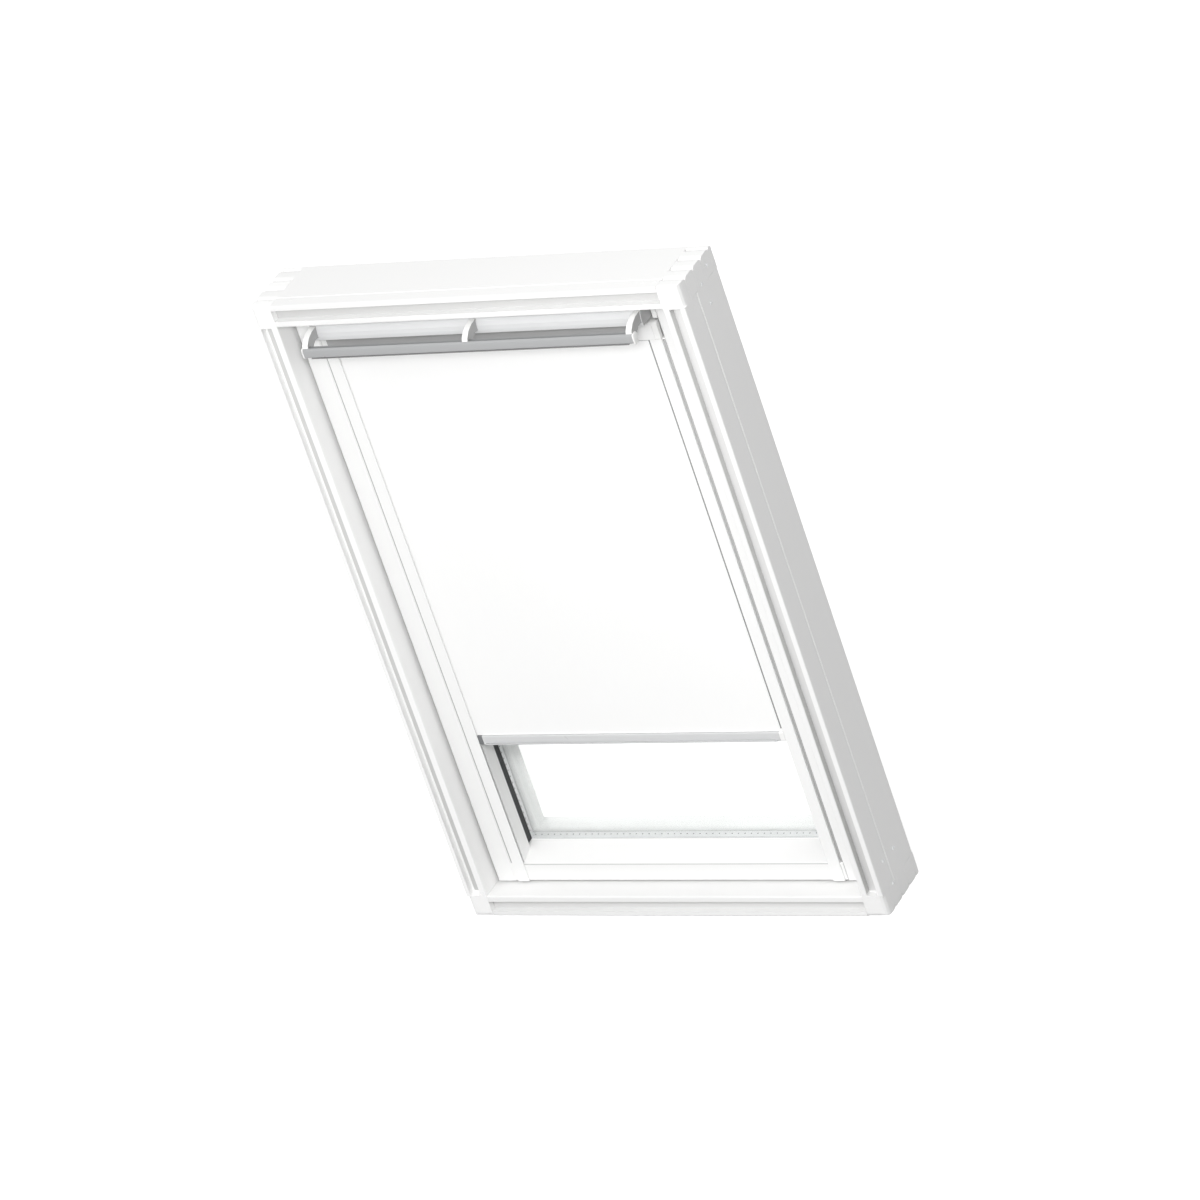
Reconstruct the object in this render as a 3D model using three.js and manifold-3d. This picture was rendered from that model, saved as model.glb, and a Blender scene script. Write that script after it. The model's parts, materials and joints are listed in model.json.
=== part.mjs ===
// A centre-pivot roof window with a roller blind in its sash.
//
// Frame: X across the window, Y from the room out through the roof, Z up the slope.
// The origin is at the middle of the frame's bottom face. Lengths are in millimetres.
// Two words are used all through. "at" is a depth, counted from the frame's room face
// outwards, and "in" is a distance from an outer edge in towards the middle.

import * as THREE from 'three';
import { mergeVertices } from 'three/addons/utils/BufferGeometryUtils.js';
import Module from 'manifold-3d';

// Driving dimensions: the wooden frame
const frameWidth = 780;
const frameHeight = 1180;
const frameDepth = 124;
const memberThickness = 39;
const edgeRadius = 2.5;
const liningLip = 8.5;
const liningGrooveWidth = 20;
const liningGrooveDepth = 12;
const firstFinger = 26;
const fingerPitch = 29.3;
const cornerRadius = 13;
const shadowLineWidth = 3;
const sideShadowLineAt = 46;

// Driving dimensions: the wooden sash
const sashSideGap = 5.5;
const sashEndGap = 4;
const sashFrontAt = 40;
const sashDepth = 76;
const sashFace = 34;
const sashBevel = 16;
const glazingRebate = 29;
const rebateIn = 37;
const sashEdgeRadius = 3;

// Driving dimensions: the glazing and the covers that hold it from outside
const paneThickness = 4;
const paneSpace = 15;
const paneEdgeClearance = 2;
const spacerWidth = 9;
const spacerEdge = 3;
const gasketThickness = 2.7;
const gasketWidth = 10;
const coverThickness = 2;
const coverOverhang = 34;
const coverEdge = 1;

// Driving dimensions: the pivot at mid height
const pivotPinRadius = 8;
const pivotPinLength = 13;
const pivotPlateThickness = 2.2;
const pivotPlateLength = 110;
const pivotPlateWidth = 34;
const pivotBoreClearance = 0.6;

// Driving dimensions: the seals round the sash
const sealWidth = 10;
const sealSetback = 28;
const sealRunningGap = 1.4;
const sealPivotGap = 18;
const sealCornerGap = 12;

// Driving dimensions: the ventilation flap and its control bar
const flapEndMargin = 11.2;
const flapThickness = 2.6;
const flapFrontAt = 13;
const flapBottom = 30;
const flapTop = 2.6;
const flapBulge = 3.2;
const flapLean = 4;
const cheekThickness = 2.5;
const flapAxisAt = 46;
const flapAxisBelow = 25;
const flapAxisReach = 5.5;
const flapPinRadius = 2.5;
const flapPinSeat = 4.5;
const flapPinClearance = 0.4;
const ventPocketSide = 3;
const ventPocketDepth = 18;
const ventPocketHeight = 33.5;
const filterThickness = 7;
const filterHeight = 18;
const filterEndGap = 50;
const filterLift = 7;
const barEndSetback = 1;
const barHeight = 17.5;
const barThickness = 13;
const barReach = 27;
const barBelow = 22.5;
const barRadius = 5.5;
const barGrooveWidth = 6;
const barGrooveDepth = 9;
const bracketThickness = 10;
const bracketNeck = 15;

// Driving dimensions: the latch, its striker and the cleaning bolt
const lockCaseHalfLength = 44;
const lockCaseDepth = 22;
const lockCaseHeight = 24;
const lockCaseBehindPocket = 4;
const latchHalfWidth = 8;
const latchThickness = 10;
const latchLength = 19;
const latchTravel = 9;
const latchClearance = 0.5;
const strikerThickness = 2.4;
const strikerHalfLength = 30;
const strikerMargin = 7;
const keepClearance = 4;
const boltEndGap = 30;
const boltBehindPocket = 8;
const boltRadius = 5;
const boltLength = 24;
const boltTravel = 12;
const boltClearance = 0.5;
const boltBoreDepth = 30;
const bushWall = 2.5;
const bushLength = 14;
const knobRadius = 3;
const knobReach = 5;
const knobLow = 5;

// Driving dimensions: the blind
const channelFrontAt = 38;
const channelFace = 26;
const channelDepth = 34;
const channelWall = 1.6;
const channelShoulder = 5;
const channelShoulderDepth = 5;
const channelSlot = 3.4;
const channelSealWidth = 6;
const channelSealInset = 3;
const casingDepth = 34;
const casingHeight = 31;
const casingWall = 2;
const casingRadius = 6;
const casingRailClearance = 1.2;
const casingBelowRail = 6;
const casingSlotWidth = 15;
const casingSlotLip = 2.6;
const casingEndThickness = 4;
const casingEndClearance = 0.6;
const casingFlangeDepth = 8;
const rollerRadius = 8;
const rollerWall = 1;
const rollerEndGap = 4;
const plugLength = 14;
const plugFlange = 2;
const stubRadius = 3;
const stubLength = 14;
const stubClearance = 0.4;
const rollThickness = 1;
const rollEndGap = 2.5;
const fabricThickness = 0.4;
const fabricInChannel = 8;
const fabricDrop = 733;
const barProfileHeight = 17;
const barProfileDepth = 6.6;
const barProfileRadius = 2;
const sliderFace = 8.5;
const sliderTongue = 15;
const sliderGap = 0.4;

// Clearances and the overrun of a cut
const seatGap = 0.3;
const overrun = 1;

// Counts and shares
const roundSides = 32;
const curveSteps = 4;
const halfShare = 0.5;
const fingerRoundShare = 0.28;
const bracketNeckShare = 0.5;

// Places worked out from the driving dimensions
const halfWidth = frameWidth / 2;
const openingHalf = halfWidth - memberThickness;
const openingBottom = memberThickness;
const openingTop = frameHeight - memberThickness;
const sashHalf = openingHalf - sashSideGap;
const sashBottom = openingBottom + sashEndGap;
const sashTop = openingTop - sashEndGap;
const sashBackAt = sashFrontAt + sashDepth;
const tongueBackAt = sashBackAt - glazingRebate;
const sealAt = sashBackAt - sealSetback;
const pivotAt = sashFrontAt + sashDepth * halfShare;
const pivotHeight = frameHeight * halfShare;
const paneAt = tongueBackAt + gasketThickness + 2 * seatGap;
const outerPaneAt = paneAt + paneThickness + paneSpace + 2 * seatGap;
const channelInner = sashHalf - sashFace - seatGap - channelFace;
const channelFrontHalf = channelInner + channelFace - channelShoulder;
const casingFrontAt = channelFrontAt;
const slotFrontAt = channelFrontAt + channelWall;
const fabricAt = slotFrontAt + channelSlot * halfShare;
const casingTop = sashTop - sashFace - casingBelowRail;
const bevelRun = (tongueBackAt - sashFrontAt) / sashBevel;
const casingFlatAt = sashFrontAt + (casingBelowRail - casingRailClearance) * bevelRun;
const casingBottom = casingTop - casingHeight;
const rollRadius = rollerRadius + seatGap + rollThickness;
const rollerAt = fabricAt + fabricThickness * halfShare + seatGap + rollRadius;
const rollerHeight = casingTop - casingHeight * halfShare;
const casingHalfLength = sashHalf - bevelAt(casingFrontAt + casingDepth) - casingEndClearance;
const rollerHalf = casingHalfLength - casingEndThickness - rollerEndGap;
const fabricBottom = casingBottom - fabricDrop;
const ventPocketAt = sashFrontAt + ventPocketDepth;
const flapHalfLength = sashHalf - sashFace - flapEndMargin;
const pocketHalf = flapHalfLength + ventPocketSide;
const filterHalfLength = flapHalfLength - filterEndGap;
const barHalfLength = flapHalfLength - barEndSetback;
const boltAcross = boltEndGap - flapHalfLength;
const flapAxisHeight = sashTop - flapAxisBelow;
const lockAt = ventPocketAt + lockCaseBehindPocket;
const latchAt = lockAt + lockCaseDepth * halfShare;
const boltAt = ventPocketAt + boltBehindPocket;

const wasm = await Module();
wasm.setup();

const finishes = {
  paint: { color: 0xf4f4f2, roughness: 0.45, metalness: 0 },
  aluminium: { color: 0xf1f1ef, roughness: 0.4, metalness: 0 },
  trim: { color: 0xc9cacb, roughness: 0.4, metalness: 0 },
  steel: { color: 0xa9abad, roughness: 0.35, metalness: 1 },
  plastic: { color: 0x6d7072, roughness: 0.5, metalness: 0 },
  glass: { color: 0xe6efee, roughness: 0.05, metalness: 0 },
  rubber: { color: 0x26282a, roughness: 0.8, metalness: 0 },
  cladding: { color: 0x55595c, roughness: 0.5, metalness: 0.6 },
  cloth: { color: 0xf8f8f6, roughness: 0.9, metalness: 0 },
};

const materials = {};
for (const [name, finish] of Object.entries(finishes)) {
  materials[name] = new THREE.MeshStandardMaterial({ name, ...finish });
}

const window3d = new THREE.Group();

// Depth from the frame's room face as a place on the Y axis
function depth(at) {
  return at - frameDepth / 2;
}

// A closed outline from corners [a, b] or [a, b, radius]; a rounded corner becomes a curve
function outline(corners) {
  const shape = new THREE.Shape();
  corners.forEach(([a, b, radius = 0], i) => {
    const here = new THREE.Vector2(a, b);
    const before = new THREE.Vector2(...corners.at(i - 1).slice(0, 2));
    const after = new THREE.Vector2(...corners[(i + 1) % corners.length].slice(0, 2));
    const enter = here.clone().add(before.sub(here).setLength(radius));
    const leave = here.clone().add(after.sub(here).setLength(radius));
    if (i === 0) shape.moveTo(enter.x, enter.y);
    else shape.lineTo(enter.x, enter.y);
    if (radius > 0) shape.quadraticCurveTo(here.x, here.y, leave.x, leave.y);
  });
  shape.closePath();
  return shape;
}

function rectangle(a0, a1, b0, b1, radius = 0) {
  return outline([[a0, b0, radius], [a1, b0, radius], [a1, b1, radius], [a0, b1, radius]]);
}

function extruded(shape, length) {
  return new THREE.ExtrudeGeometry(shape, { depth: length, bevelEnabled: false, curveSegments: curveSteps });
}

// An outline drawn in Y and Z, run along X
function alongX(shape, from, to) {
  const turn = new THREE.Matrix4().makeBasis(
    new THREE.Vector3(0, 1, 0), new THREE.Vector3(0, 0, 1), new THREE.Vector3(1, 0, 0));
  return extruded(shape, to - from).applyMatrix4(turn).translate(from, 0, 0);
}

// An outline drawn in X and Z, run along Y
function alongY(shape, from, to) {
  const turn = new THREE.Matrix4().makeBasis(
    new THREE.Vector3(1, 0, 0), new THREE.Vector3(0, 0, 1), new THREE.Vector3(0, -1, 0));
  return extruded(shape, to - from).applyMatrix4(turn).translate(0, to, 0);
}

// An outline drawn in X and Y, run along Z
function alongZ(shape, from, to) {
  return extruded(shape, to - from).translate(0, 0, from);
}

function block(x0, x1, at0, at1, z0, z1) {
  return new THREE.BoxGeometry(x1 - x0, at1 - at0, z1 - z0)
    .translate((x0 + x1) / 2, depth((at0 + at1) / 2), (z0 + z1) / 2);
}

// A round bar along X, Y or Z
function rodX(radius, x0, x1, at, z) {
  return new THREE.CylinderGeometry(radius, radius, x1 - x0, roundSides)
    .rotateZ(-Math.PI / 2).translate((x0 + x1) / 2, depth(at), z);
}

function rodY(radius, x, at0, at1, z) {
  return new THREE.CylinderGeometry(radius, radius, at1 - at0, roundSides)
    .translate(x, depth((at0 + at1) / 2), z);
}

function rodZ(radius, x, at, z0, z1) {
  return new THREE.CylinderGeometry(radius, radius, z1 - z0, roundSides)
    .rotateX(Math.PI / 2).translate(x, depth(at), (z0 + z1) / 2);
}

// Geometry to solid and back
function solid(geometry) {
  const bare = geometry.clone();
  bare.deleteAttribute('normal');
  bare.deleteAttribute('uv');
  const merged = mergeVertices(bare);
  return new wasm.Manifold(new wasm.Mesh({
    numProp: 3,
    vertProperties: new Float32Array(merged.attributes.position.array),
    triVerts: new Uint32Array(merged.index.array),
  }));
}

function joined(...geometries) {
  return geometries.map(solid).reduce((whole, piece) => whole.add(piece));
}

function cut(body, ...geometries) {
  return geometries.map(solid).reduce((whole, piece) => whole.subtract(piece), body);
}

function add(name, body, material) {
  let geometry = body;
  if (!body.isBufferGeometry) {
    const mesh = body.getMesh();
    geometry = new THREE.BufferGeometry();
    geometry.setAttribute('position', new THREE.BufferAttribute(new Float32Array(mesh.vertProperties), 3));
    geometry.setIndex(new THREE.BufferAttribute(new Uint32Array(mesh.triVerts), 1));
    geometry.computeVertexNormals();
  }
  const piece = new THREE.Mesh(geometry, materials[material]);
  piece.name = name;
  window3d.add(piece);
}

const sides = [{ side: 'left', sign: -1 }, { side: 'right', sign: 1 }];
const ends = [{ end: 'top', edge: frameHeight, inward: -1 }, { end: 'bottom', edge: 0, inward: 1 }];

// A block between two distances from the middle, on the side that sign names
function sideBlock(sign, in0, in1, at0, at1, z0, z1) {
  return block(Math.min(sign * in0, sign * in1), Math.max(sign * in0, sign * in1), at0, at1, z0, z1);
}

function sideRod(sign, radius, in0, in1, at, z) {
  return rodX(radius, Math.min(sign * in0, sign * in1), Math.max(sign * in0, sign * in1), at, z);
}

// Wooden frame. Each member has a groove for the room's lining and a fine shadow line outside.
function memberOutline(place, lineAt) {
  const half = shadowLineWidth / 2;
  const grooveEnd = liningLip + liningGrooveWidth;
  const points = [
    [0, 0, edgeRadius], [liningLip, 0, 0], [liningLip, liningGrooveDepth, 0],
    [grooveEnd, liningGrooveDepth, 0], [grooveEnd, 0, 0], [memberThickness, 0, edgeRadius],
    [memberThickness, frameDepth, edgeRadius], [0, frameDepth, edgeRadius],
    [0, lineAt + half, 0], [half, lineAt, 0], [0, lineAt - half, 0],
  ];
  return outline(points.map(([distance, at, radius]) => [...place(distance, depth(at)), radius]));
}

// Box joint fingers at a corner. Even ones belong to the side members, odd ones to the ends.
function fingerSpans() {
  const spans = [[0, firstFinger]];
  while (spans.at(-1)[1] < frameDepth) {
    const from = spans.at(-1)[1];
    spans.push([from, Math.min(from + fingerPitch, frameDepth)]);
  }
  return spans;
}

function fingers(owner, sign, edge, inward) {
  const ownerIsSide = owner === 0;
  const inner = edge + inward * (memberThickness + (ownerIsSide ? overrun : -seatGap));
  const x0 = openingHalf - (ownerIsSide ? 0 : overrun + seatGap);
  const x = [sign * x0, sign * halfWidth].sort((a, b) => a - b);
  return fingerSpans().filter((_, i) => i % 2 === owner).map(([from, to]) => {
    const near = depth(from > 0 ? from + seatGap / 2 : from);
    const far = depth(to < frameDepth ? to - seatGap / 2 : to);
    const radius = (far - near) * fingerRoundShare;
    return alongX(outline([
      [near, inner, 0], [far, inner, 0], [far, edge, radius], [near, edge, radius],
    ]), x[0], x[1]);
  });
}

// The room-side corner of the first finger is rounded over, top and bottom
function cornerRounding(sign) {
  const front = depth(0);
  const inset = sign * (halfWidth - cornerRadius);
  const clear = sign * (halfWidth + overrun);
  const shape = new THREE.Shape();
  shape.moveTo(inset, front);
  shape.quadraticCurveTo(sign * halfWidth, front, sign * halfWidth, front + cornerRadius);
  shape.lineTo(clear, front + cornerRadius);
  shape.lineTo(clear, front - overrun);
  shape.lineTo(inset, front - overrun);
  shape.closePath();
  return [
    alongZ(shape, -overrun, openingBottom),
    alongZ(shape, openingTop, frameHeight + overrun),
  ];
}

const boltBores = [
  { end: 'top', at: boltAt },
  { end: 'bottom', at: 2 * pivotAt - boltAt },
];

function frameMembers() {
  for (const { side, sign } of sides) {
    const place = (distance, y) => [sign * (halfWidth - distance), y];
    const body = alongZ(memberOutline(place, sideShadowLineAt), openingBottom, openingTop);
    const corners = ends.flatMap(({ edge, inward }) => fingers(0, sign, edge, inward));
    const socket = sideRod(sign, pivotPinRadius + 2 * pivotBoreClearance, openingHalf - overrun,
      openingHalf + pivotPinLength + overrun, pivotAt, pivotHeight);
    add(`frame_${side}_member`, cut(joined(body, ...corners), socket, ...cornerRounding(sign)), 'paint');
  }
  for (const { end, edge, inward } of ends) {
    const place = (distance, y) => [y, edge + inward * distance];
    const reach = openingHalf - seatGap;
    const body = alongX(memberOutline(place, firstFinger), -reach, reach);
    let member = joined(body, ...sides.flatMap(({ sign }) => fingers(1, sign, edge, inward)));
    const faceHeight = edge + inward * memberThickness;
    const bore = boltBores.find((item) => item.end === end);
    const boreSpan = [faceHeight + inward * overrun, faceHeight - inward * (bushLength + overrun)];
    boreSpan.sort((a, b) => a - b);
    const bushRadius = boltRadius + boltClearance + bushWall + seatGap;
    member = cut(member, rodZ(bushRadius, boltAcross, bore.at, ...boreSpan), ...keepCuts(end));
    add(`frame_${end}_member`, member, 'paint');
    bush(end, bore.at, faceHeight, inward);
  }
}

function bush(end, at, faceHeight, inward) {
  const outer = boltRadius + boltClearance + bushWall;
  const span = [faceHeight - inward * seatGap, faceHeight - inward * bushLength].sort((a, b) => a - b);
  const through = [span[0] - overrun, span[1] + overrun];
  const body = cut(solid(rodZ(outer, boltAcross, at, ...span)),
    rodZ(boltRadius + boltClearance, boltAcross, at, ...through));
  add(`bolt_bush_${end}`, body, 'plastic');
}

// Striker plate, let in flush in the top member, and the keep behind its slot. The bottom member
// has a keep of its own, because the latch points down there when the sash is turned for cleaning.
function strikerSpan() {
  return [latchAt - latchThickness / 2 - strikerMargin, latchAt + latchThickness / 2 + strikerMargin];
}

function latchPassage(z0, z1, clearance, at = latchAt) {
  const half = latchThickness / 2 + clearance;
  return block(-latchHalfWidth - clearance, latchHalfWidth + clearance, at - half, at + half, z0, z1);
}

function keepCuts(end) {
  const keepReach = latchTravel + keepClearance;
  if (end === 'bottom') {
    return [latchPassage(openingBottom - keepReach, openingBottom + overrun, latchClearance + seatGap,
      2 * pivotAt - latchAt)];
  }
  const [from, to] = strikerSpan();
  const recess = block(-strikerHalfLength - seatGap, strikerHalfLength + seatGap, from - seatGap,
    to + seatGap,
    openingTop - overrun, openingTop + strikerThickness + seatGap);
  return [recess, latchPassage(openingTop - overrun, openingTop + keepReach, latchClearance + seatGap)];
}

function striker() {
  const [from, to] = strikerSpan();
  const plate = block(-strikerHalfLength, strikerHalfLength, from, to, openingTop,
    openingTop + strikerThickness);
  const passage = latchPassage(openingTop - overrun, openingTop + strikerThickness + overrun, latchClearance);
  add('striker_plate', cut(solid(plate), passage), 'steel');
}

// Wooden sash: a square front, a bevel in to the glass, and a rebate behind the tongue
function sashOutline(place, grow) {
  const points = [
    [-grow, sashFrontAt - grow, sashEdgeRadius], [sashFace + grow, sashFrontAt - grow, sashEdgeRadius],
    [sashFace + sashBevel + grow, tongueBackAt + grow, 0], [rebateIn + grow, tongueBackAt + grow, 0],
    [rebateIn + grow, sashBackAt + grow, 0], [-grow, sashBackAt + grow, sashEdgeRadius],
  ];
  return outline(points.map(([distance, at, radius]) => [...place(distance, depth(at)), radius]));
}

function stile(sign, grow) {
  const place = (distance, y) => [sign * (sashHalf - distance), y];
  return alongZ(sashOutline(place, grow), sashBottom - grow, sashTop + grow);
}

function rail(end, grow, reach) {
  const place = end === 'top'
    ? (distance, y) => [y, sashTop - distance]
    : (distance, y) => [y, sashBottom + distance];
  return alongX(sashOutline(place, grow), -reach, reach);
}

function sashMembers() {
  for (const { side, sign } of sides) {
    add(`sash_${side}_stile`, solid(stile(sign, 0)), 'paint');
  }
  const reach = sashHalf - sashFace - seatGap;
  const copes = sides.map(({ sign }) => stile(sign, seatGap));
  add('sash_bottom_rail', cut(solid(rail('bottom', 0, reach)), ...copes), 'paint');
  add('sash_top_rail', cut(solid(rail('top', 0, reach)), ...copes, ...topRailCuts()), 'paint');
}

function topRailCuts() {
  const pocket = block(-pocketHalf, pocketHalf, sashFrontAt - overrun, ventPocketAt,
    sashTop - ventPocketHeight, sashTop + overrun);
  const railHalf = sashHalf - sashFace;
  const pinHole = rodX(flapPinRadius + flapPinClearance, -railHalf, railHalf, flapAxisAt, flapAxisHeight);
  const lockSeat = block(-lockCaseHalfLength - seatGap, lockCaseHalfLength + seatGap, lockAt - seatGap,
    lockAt + lockCaseDepth + seatGap, sashTop - lockCaseHeight - 2 * seatGap, sashTop + overrun);
  const bore = rodZ(boltRadius + boltClearance, boltAcross, boltAt, sashTop - boltBoreDepth,
    sashTop + overrun);
  const slotHalf = knobRadius + boltClearance;
  const low = sashTop - boltLength + knobLow - slotHalf;
  const knobSlot = block(boltAcross - slotHalf, boltAcross + slotHalf, ventPocketAt - overrun, boltAt,
    low, low + boltTravel + 2 * slotHalf);
  return [pocket, pinHole, lockSeat, bore, knobSlot];
}

// Double glazing with its spacer and gaskets, seen from the room through the sash
function ring(outerHalf, z0, z1, width, at0, at1) {
  const shape = rectangle(-outerHalf, outerHalf, z0, z1);
  const hole = rectangle(-outerHalf + width, outerHalf - width, z0 + width, z1 - width);
  shape.holes.push(hole);
  return alongY(shape, depth(at0), depth(at1));
}

function glazing() {
  const edge = rebateIn + paneEdgeClearance;
  const half = sashHalf - edge;
  const low = sashBottom + edge;
  const high = sashTop - edge;
  add('inner_pane', block(-half, half, paneAt, paneAt + paneThickness, low, high), 'glass');
  add('outer_pane', block(-half, half, outerPaneAt, outerPaneAt + paneThickness, low, high), 'glass');
  const spacerFrom = paneAt + paneThickness + seatGap;
  add('pane_spacer', ring(half - spacerEdge, low + spacerEdge, high - spacerEdge, spacerWidth,
    spacerFrom, outerPaneAt - seatGap), 'steel');
  const gasketFrom = tongueBackAt + seatGap;
  add('inner_gasket', ring(half, low, high, gasketWidth, gasketFrom, gasketFrom + gasketThickness), 'rubber');
  const outerFrom = outerPaneAt + paneThickness + seatGap;
  add('outer_gasket', ring(half, low, high, gasketWidth, outerFrom, sashBackAt), 'rubber');
}

// Outer covers: four thin profiles that close the glazing rebate from the roof side
function covers() {
  const inner = rebateIn + coverOverhang;
  const at0 = sashBackAt + seatGap;
  const at1 = at0 + coverThickness;
  for (const { side, sign } of sides) {
    const cover = sideBlock(sign, sashHalf - inner, sashHalf - coverEdge, at0, at1,
      sashBottom + inner + seatGap, sashTop - inner - seatGap);
    add(`outer_cover_${side}`, cover, 'cladding');
  }
  const half = sashHalf - coverEdge;
  add('outer_cover_top', block(-half, half, at0, at1, sashTop - inner, sashTop - coverEdge), 'cladding');
  add('outer_cover_bottom', block(-half, half, at0, at1, sashBottom + coverEdge,
    sashBottom + inner), 'cladding');
}

// Pivot: a plate with a pin on the sash, a plate with an eye on the frame
function pillPlate(halfY, halfZ) {
  const shape = new THREE.Shape();
  shape.moveTo(depth(pivotAt) - halfY, pivotHeight - halfZ + halfY);
  shape.absarc(depth(pivotAt), pivotHeight - halfZ + halfY, halfY, Math.PI, 2 * Math.PI);
  shape.absarc(depth(pivotAt), pivotHeight + halfZ - halfY, halfY, 0, Math.PI);
  shape.closePath();
  return shape;
}

function pivots() {
  const plate = pillPlate(pivotPlateWidth / 2, pivotPlateLength / 2);
  for (const { side, sign } of sides) {
    const sashPlate = [sashHalf + seatGap, sashHalf + seatGap + pivotPlateThickness];
    const framePlate = [openingHalf - seatGap - pivotPlateThickness, openingHalf - seatGap];
    const run = ([in0, in1]) => alongX(plate, Math.min(sign * in0, sign * in1),
      Math.max(sign * in0, sign * in1));
    const pin = sideRod(sign, pivotPinRadius, sashPlate[0], openingHalf + pivotPinLength, pivotAt,
      pivotHeight);
    add(`pivot_pin_${side}`, joined(run(sashPlate), pin), 'steel');
    const eye = sideRod(sign, pivotPinRadius + pivotBoreClearance, framePlate[0] - overrun,
      framePlate[1] + overrun, pivotAt, pivotHeight);
    add(`pivot_plate_${side}`, cut(solid(run(framePlate)), eye), 'steel');
  }
}

// Seals on the sash's edges, left out where the pivots are
function seals() {
  const at1 = sealAt + sealWidth;
  const lip = sashEndGap - sealRunningGap;
  const half = sashHalf - sealCornerGap;
  add('seal_top', block(-half, half, sealAt, at1, sashTop + seatGap, sashTop + lip), 'rubber');
  add('seal_bottom', block(-half, half, sealAt, at1, sashBottom - lip, sashBottom - seatGap), 'rubber');
  const clear = pivotPlateLength / 2 + sealPivotGap;
  const spans = {
    upper: [pivotHeight + clear, sashTop - sealCornerGap],
    lower: [sashBottom + sealCornerGap, pivotHeight - clear],
  };
  for (const { side, sign } of sides) {
    for (const [part, [z0, z1]] of Object.entries(spans)) {
      const seal = sideBlock(sign, sashHalf + seatGap, openingHalf - sealRunningGap, sealAt, at1, z0, z1);
      add(`seal_${side}_${part}`, seal, 'rubber');
    }
  }
}

// Ventilation flap: a bowed panel between two cheeks that turn on pins in the top rail
function flapPanel() {
  const low = sashTop - flapBottom;
  const high = sashTop - flapTop;
  const front = depth(flapFrontAt);
  const back = front + flapThickness;
  const middle = (low + high) / 2;
  const shape = new THREE.Shape();
  shape.moveTo(front, low);
  shape.quadraticCurveTo(front - flapBulge, middle, front + flapLean, high);
  shape.lineTo(back + flapLean, high);
  shape.quadraticCurveTo(back - flapBulge, middle, back, low);
  shape.closePath();
  return alongX(shape, -flapHalfLength, flapHalfLength);
}

function flapCheek(sign) {
  const low = sashTop - flapBottom;
  const high = sashTop - flapTop;
  const back = depth(flapAxisAt) + flapAxisReach;
  const shape = outline([
    [depth(flapFrontAt), low, 0], [back, flapAxisHeight - flapAxisReach, flapAxisReach],
    [back, high, flapAxisReach], [depth(flapFrontAt) + flapLean + flapThickness / 2, high, 0],
  ]);
  const x = [sign * (flapHalfLength - cheekThickness), sign * flapHalfLength].sort((a, b) => a - b);
  return alongX(shape, x[0], x[1]);
}

function ventilationFlap() {
  const cheeks = sides.map(({ sign }) => flapCheek(sign));
  const pins = sides.map(({ sign }) => sideRod(sign, flapPinRadius, flapHalfLength - cheekThickness,
    pocketHalf + flapPinSeat, flapAxisAt, flapAxisHeight));
  add('ventilation_flap', joined(flapPanel(), ...cheeks, ...pins), 'trim');
  const filterLow = sashTop - ventPocketHeight + filterLift;
  add('air_filter', block(-filterHalfLength, filterHalfLength, ventPocketAt - seatGap - filterThickness,
    ventPocketAt - seatGap, filterLow, filterLow + filterHeight), 'plastic');
}

// Control bar, with a finger groove along its top, on three curved arms
function controlBarOutline(grow) {
  const front = depth(-barReach) - grow;
  const high = sashTop - barBelow + grow;
  return rectangle(front, front + barThickness + 2 * grow, high - barHeight - 2 * grow, high, barRadius);
}

function controlBar() {
  const grooveMiddle = barThickness * halfShare - barReach;
  const groove = block(-frameWidth, frameWidth, grooveMiddle - barGrooveWidth / 2,
    grooveMiddle + barGrooveWidth / 2,
    sashTop - barBelow - barGrooveDepth, sashTop);
  add('control_bar', cut(solid(alongX(controlBarOutline(0), -barHalfLength, barHalfLength)),
    groove), 'aluminium');
  const barBack = depth(-barReach) + barThickness;
  const barTop = sashTop - barBelow;
  const barLow = barTop - barHeight;
  const flapBack = depth(flapFrontAt) + flapLean;
  const high = sashTop - flapTop - edgeRadius;
  const low = sashTop - flapBottom;
  const shape = new THREE.Shape();
  const barFront = depth(-barReach);
  shape.moveTo(barFront, barTop - barRadius);
  shape.quadraticCurveTo(barFront + barRadius, high, flapBack, high);
  shape.lineTo(flapBack, low + edgeRadius);
  shape.quadraticCurveTo((barBack + flapBack) * bracketNeckShare, low + bracketNeck, barBack,
    barLow + barRadius);
  shape.closePath();
  const outerMiddle = barHalfLength - bracketThickness / 2;
  const middles = { left: -outerMiddle, middle: 0, right: outerMiddle };
  const clearances = [alongX(controlBarOutline(seatGap), -frameWidth, frameWidth), flapPanelKeepOut()];
  for (const [name, x] of Object.entries(middles)) {
    const arm = alongX(shape, x - bracketThickness / 2, x + bracketThickness / 2);
    add(`bar_bracket_${name}`, cut(solid(arm), ...clearances), 'aluminium');
  }
}

// All that lies behind the flap's front face, less the seat gap
function flapPanelKeepOut() {
  const low = sashTop - flapBottom - overrun;
  const high = sashTop - flapTop + overrun;
  const front = depth(flapFrontAt) - seatGap;
  const shape = new THREE.Shape();
  shape.moveTo(front, low);
  shape.quadraticCurveTo(front - flapBulge, (low + high) / 2, front + flapLean, high);
  shape.lineTo(depth(sashFrontAt), high);
  shape.lineTo(depth(sashFrontAt), low);
  shape.closePath();
  return alongX(shape, -frameWidth, frameWidth);
}

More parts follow.
